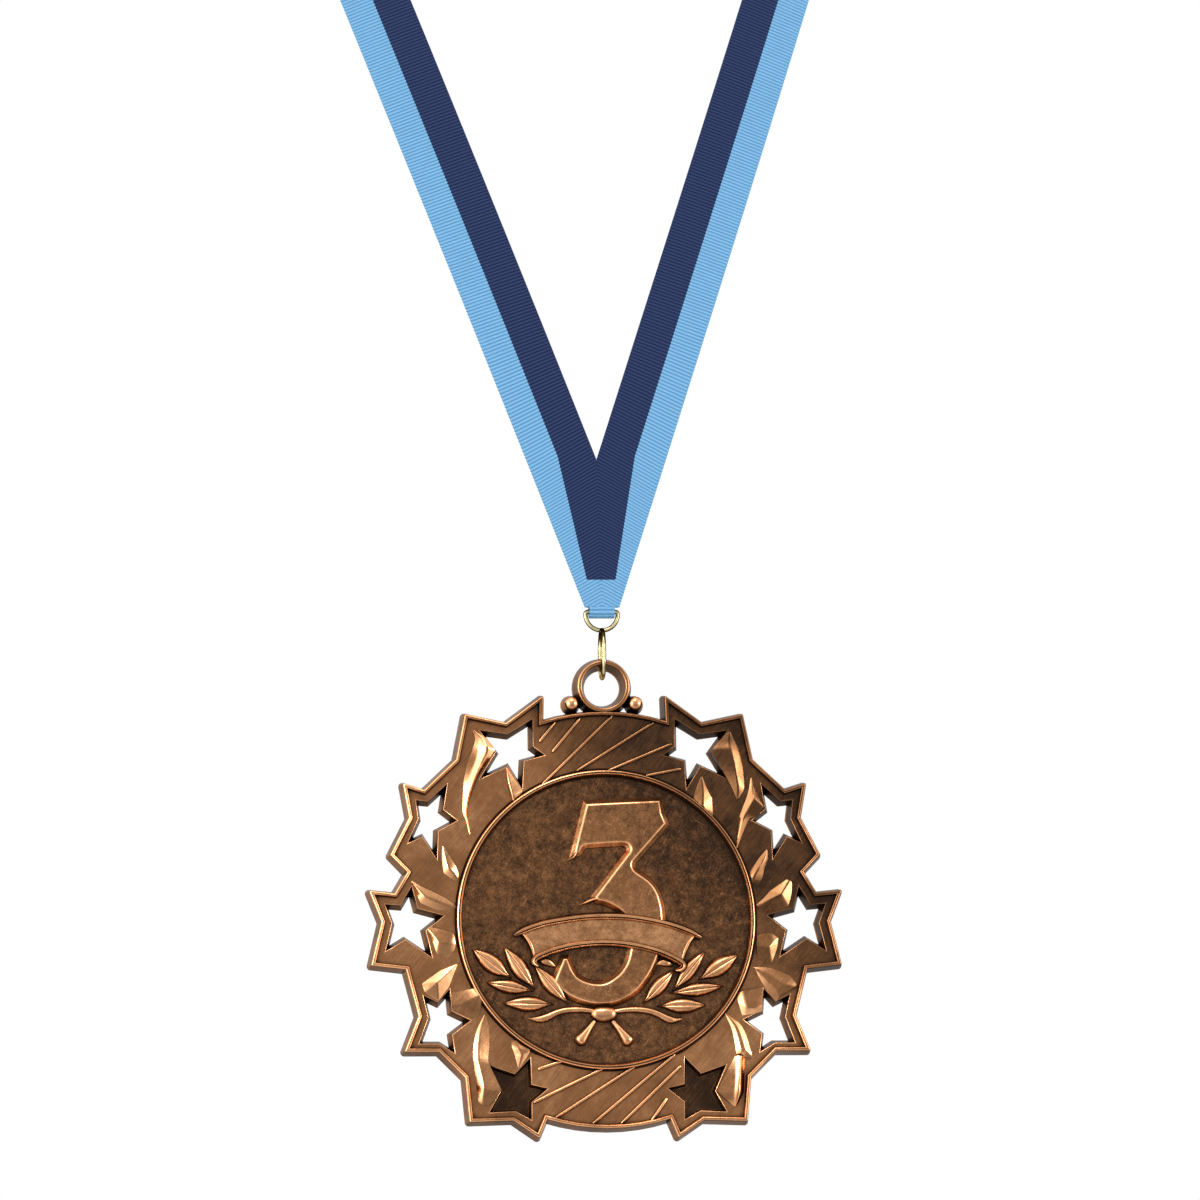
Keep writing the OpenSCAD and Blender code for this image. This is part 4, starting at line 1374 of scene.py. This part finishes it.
# The dark veil and the bright shine carry both the rubbing and the painted light and shade.
veil_and_painted_shade = rubbing_and_painted_light.spread(-0.05, 0.72)
shine_and_painted_light = rubbing_and_painted_light.spread(0.58, 1.2)
bronze.feed("Base Color", bronze.mix(shine_and_painted_light, bronze.mix(veil_and_painted_shade, DARK, BROWN), BRIGHT))
bronze.feed("Metallic", veil_and_painted_shade.spread(0.0, 0.4, 0.8, 1.0))
rough = 0.30 - shine_and_painted_light * 0.08 + (grain - 0.5) * 0.06 + veil_and_painted_shade.spread(0.0, 0.4, 0.10, 0.0)
bronze.feed("Roughness", rough.most(0.16))
swell = bronze.bump(clouds, 0.6, 0.25)
bronze.feed("Normal", bronze.bump(mottle * 0.4 + grain * 0.3 + brush * 0.3, 0.16, 0.10, Normal=swell))
bronze.put_on(casting)

# %% [markdown]
# ## The gold wire
# Drawn brass wire is smooth and bright, with a fine grain and a little tarnish. A painted reflection of the
# dark room darkens its colour where its sides turn away. In the picture the link's lower bend stays bright
# all round, so there the painted darkening is weak.

# %% Gold
GOLD, TARNISHED, MIRRORED_ROOM = (0.95, 0.82, 0.44, 1), (0.70, 0.55, 0.21, 1), (0.035, 0.026, 0.008, 1)
BEND_STARTS = -8.6
gold = Finish("gold_wire", metallic=1.0, specular_tint=(0.14, 0.11, 0.05, 1))
gold_mm = gold.in_millimetres()
tarnish = gold.noise(gold_mm, 0.6, 2.0, 0.5)
height = gold.node("SeparateXYZ", (), {0: gold_mm}).part("Z")
link_bend = height.spread(CLIP_BAR.z + BEND_STARTS, CLIP_BAR.z + BEND_STARTS - 1.0)
# Painted reflection: the colour goes to the dark room's tone where the wire turns away from the view.
turning_away = gold.node("LayerWeight", (), {"Blend": 0.5}, output="Facing").spread(0.04, 0.22)
turning_away = turning_away * (1.0 - link_bend * 0.85)
wire_tone = gold.mix(tarnish.spread(0.4, 0.75), GOLD, TARNISHED)
gold.feed("Base Color", gold.mix(turning_away, wire_tone, MIRRORED_ROOM))
gold.feed("Roughness", 0.24 + tarnish * 0.08)
gold.feed("Normal", gold.bump(gold.noise(gold_mm, 9.0, 2.0, 0.6), 0.1, 0.05))
gold.put_on(clip)

# %% [markdown]
# ## The grosgrain
# Weft cords make the ribs, and fine warp threads cross over them. The colour is painted lighter on the ribs'
# crests and painted darker as shade in the valleys between them. The outer half is light blue and the inner
# half navy. Below the straps' meeting the navy narrows to a blunt end. The weave's own map says where
# each spot lies along and across its strap, and the cutting table's map shapes the navy's end.

# %% Grosgrain
NAVY_EDGE = 0.4
NAVY_END = -3.7
NAVY_END_HALF = 2.17
NAVY_SPREAD = 0.186
WARP_PITCH = 0.16
SOFT = 0.03
grosgrain = Finish("two_colour_grosgrain", roughness=0.82, specular_ior_level=0.12)
weave = grosgrain.node("UVMap", {"uv_map": "weave"})
t = grosgrain.node("SeparateXYZ", (), {0: weave})
s = t.part("Y")
u = grosgrain.node("SeparateXYZ", (), {0: grosgrain.node("UVMap", {"uv_map": "table"})})
v = u.part("Y")
rib_wave = (s * (2 * math.pi / RIB_PITCH) - lowest * 2 * math.pi / RIB_PITCH).math("COSINE") * 0.5 + 0.5
warp = (t * (2 * math.pi / WARP_PITCH)).math("SINE") * 0.5 + 0.5
ragged = (rib_wave - 0.5) * 0.06
strap_navy = (t + ragged).spread(NAVY_EDGE + SOFT, NAVY_EDGE - SOFT)
navy_half = NAVY_END_HALF - NAVY_END * NAVY_SPREAD
point_navy = (u + ragged - v * NAVY_SPREAD).spread(navy_half + SOFT, navy_half - SOFT) * v.spread(17.0, 16.4)
navy = strap_navy.most(point_navy) * v.spread(NAVY_END - 0.04, NAVY_END + 0.04)
fuzz = grosgrain.noise(weave, 6.0, 3.0, 0.6)
# Painted shade: the rib wave darkens the valleys between ribs and lightens the crests; warp and fuzz add
# thread texture.
shade = rib_wave.spread(0.0, 0.8) * 0.75 + warp * 0.12 + fuzz * 0.13
light_blue = grosgrain.mix(shade, (0.072, 0.212, 0.375, 1), (0.200, 0.435, 0.69, 1))
navy_blue = grosgrain.mix(shade, (0.003, 0.008, 0.036, 1), (0.028, 0.045, 0.120, 1))
grosgrain.feed("Base Color", grosgrain.mix(navy, light_blue, navy_blue))
grosgrain.feed("Normal", grosgrain.bump(rib_wave * 0.6 + warp * 0.25 + fuzz * 0.15, 0.5, 0.12))
grosgrain.put_on(ribbon)
print("materials:", [m.name for m in bpy.data.materials if m.users])
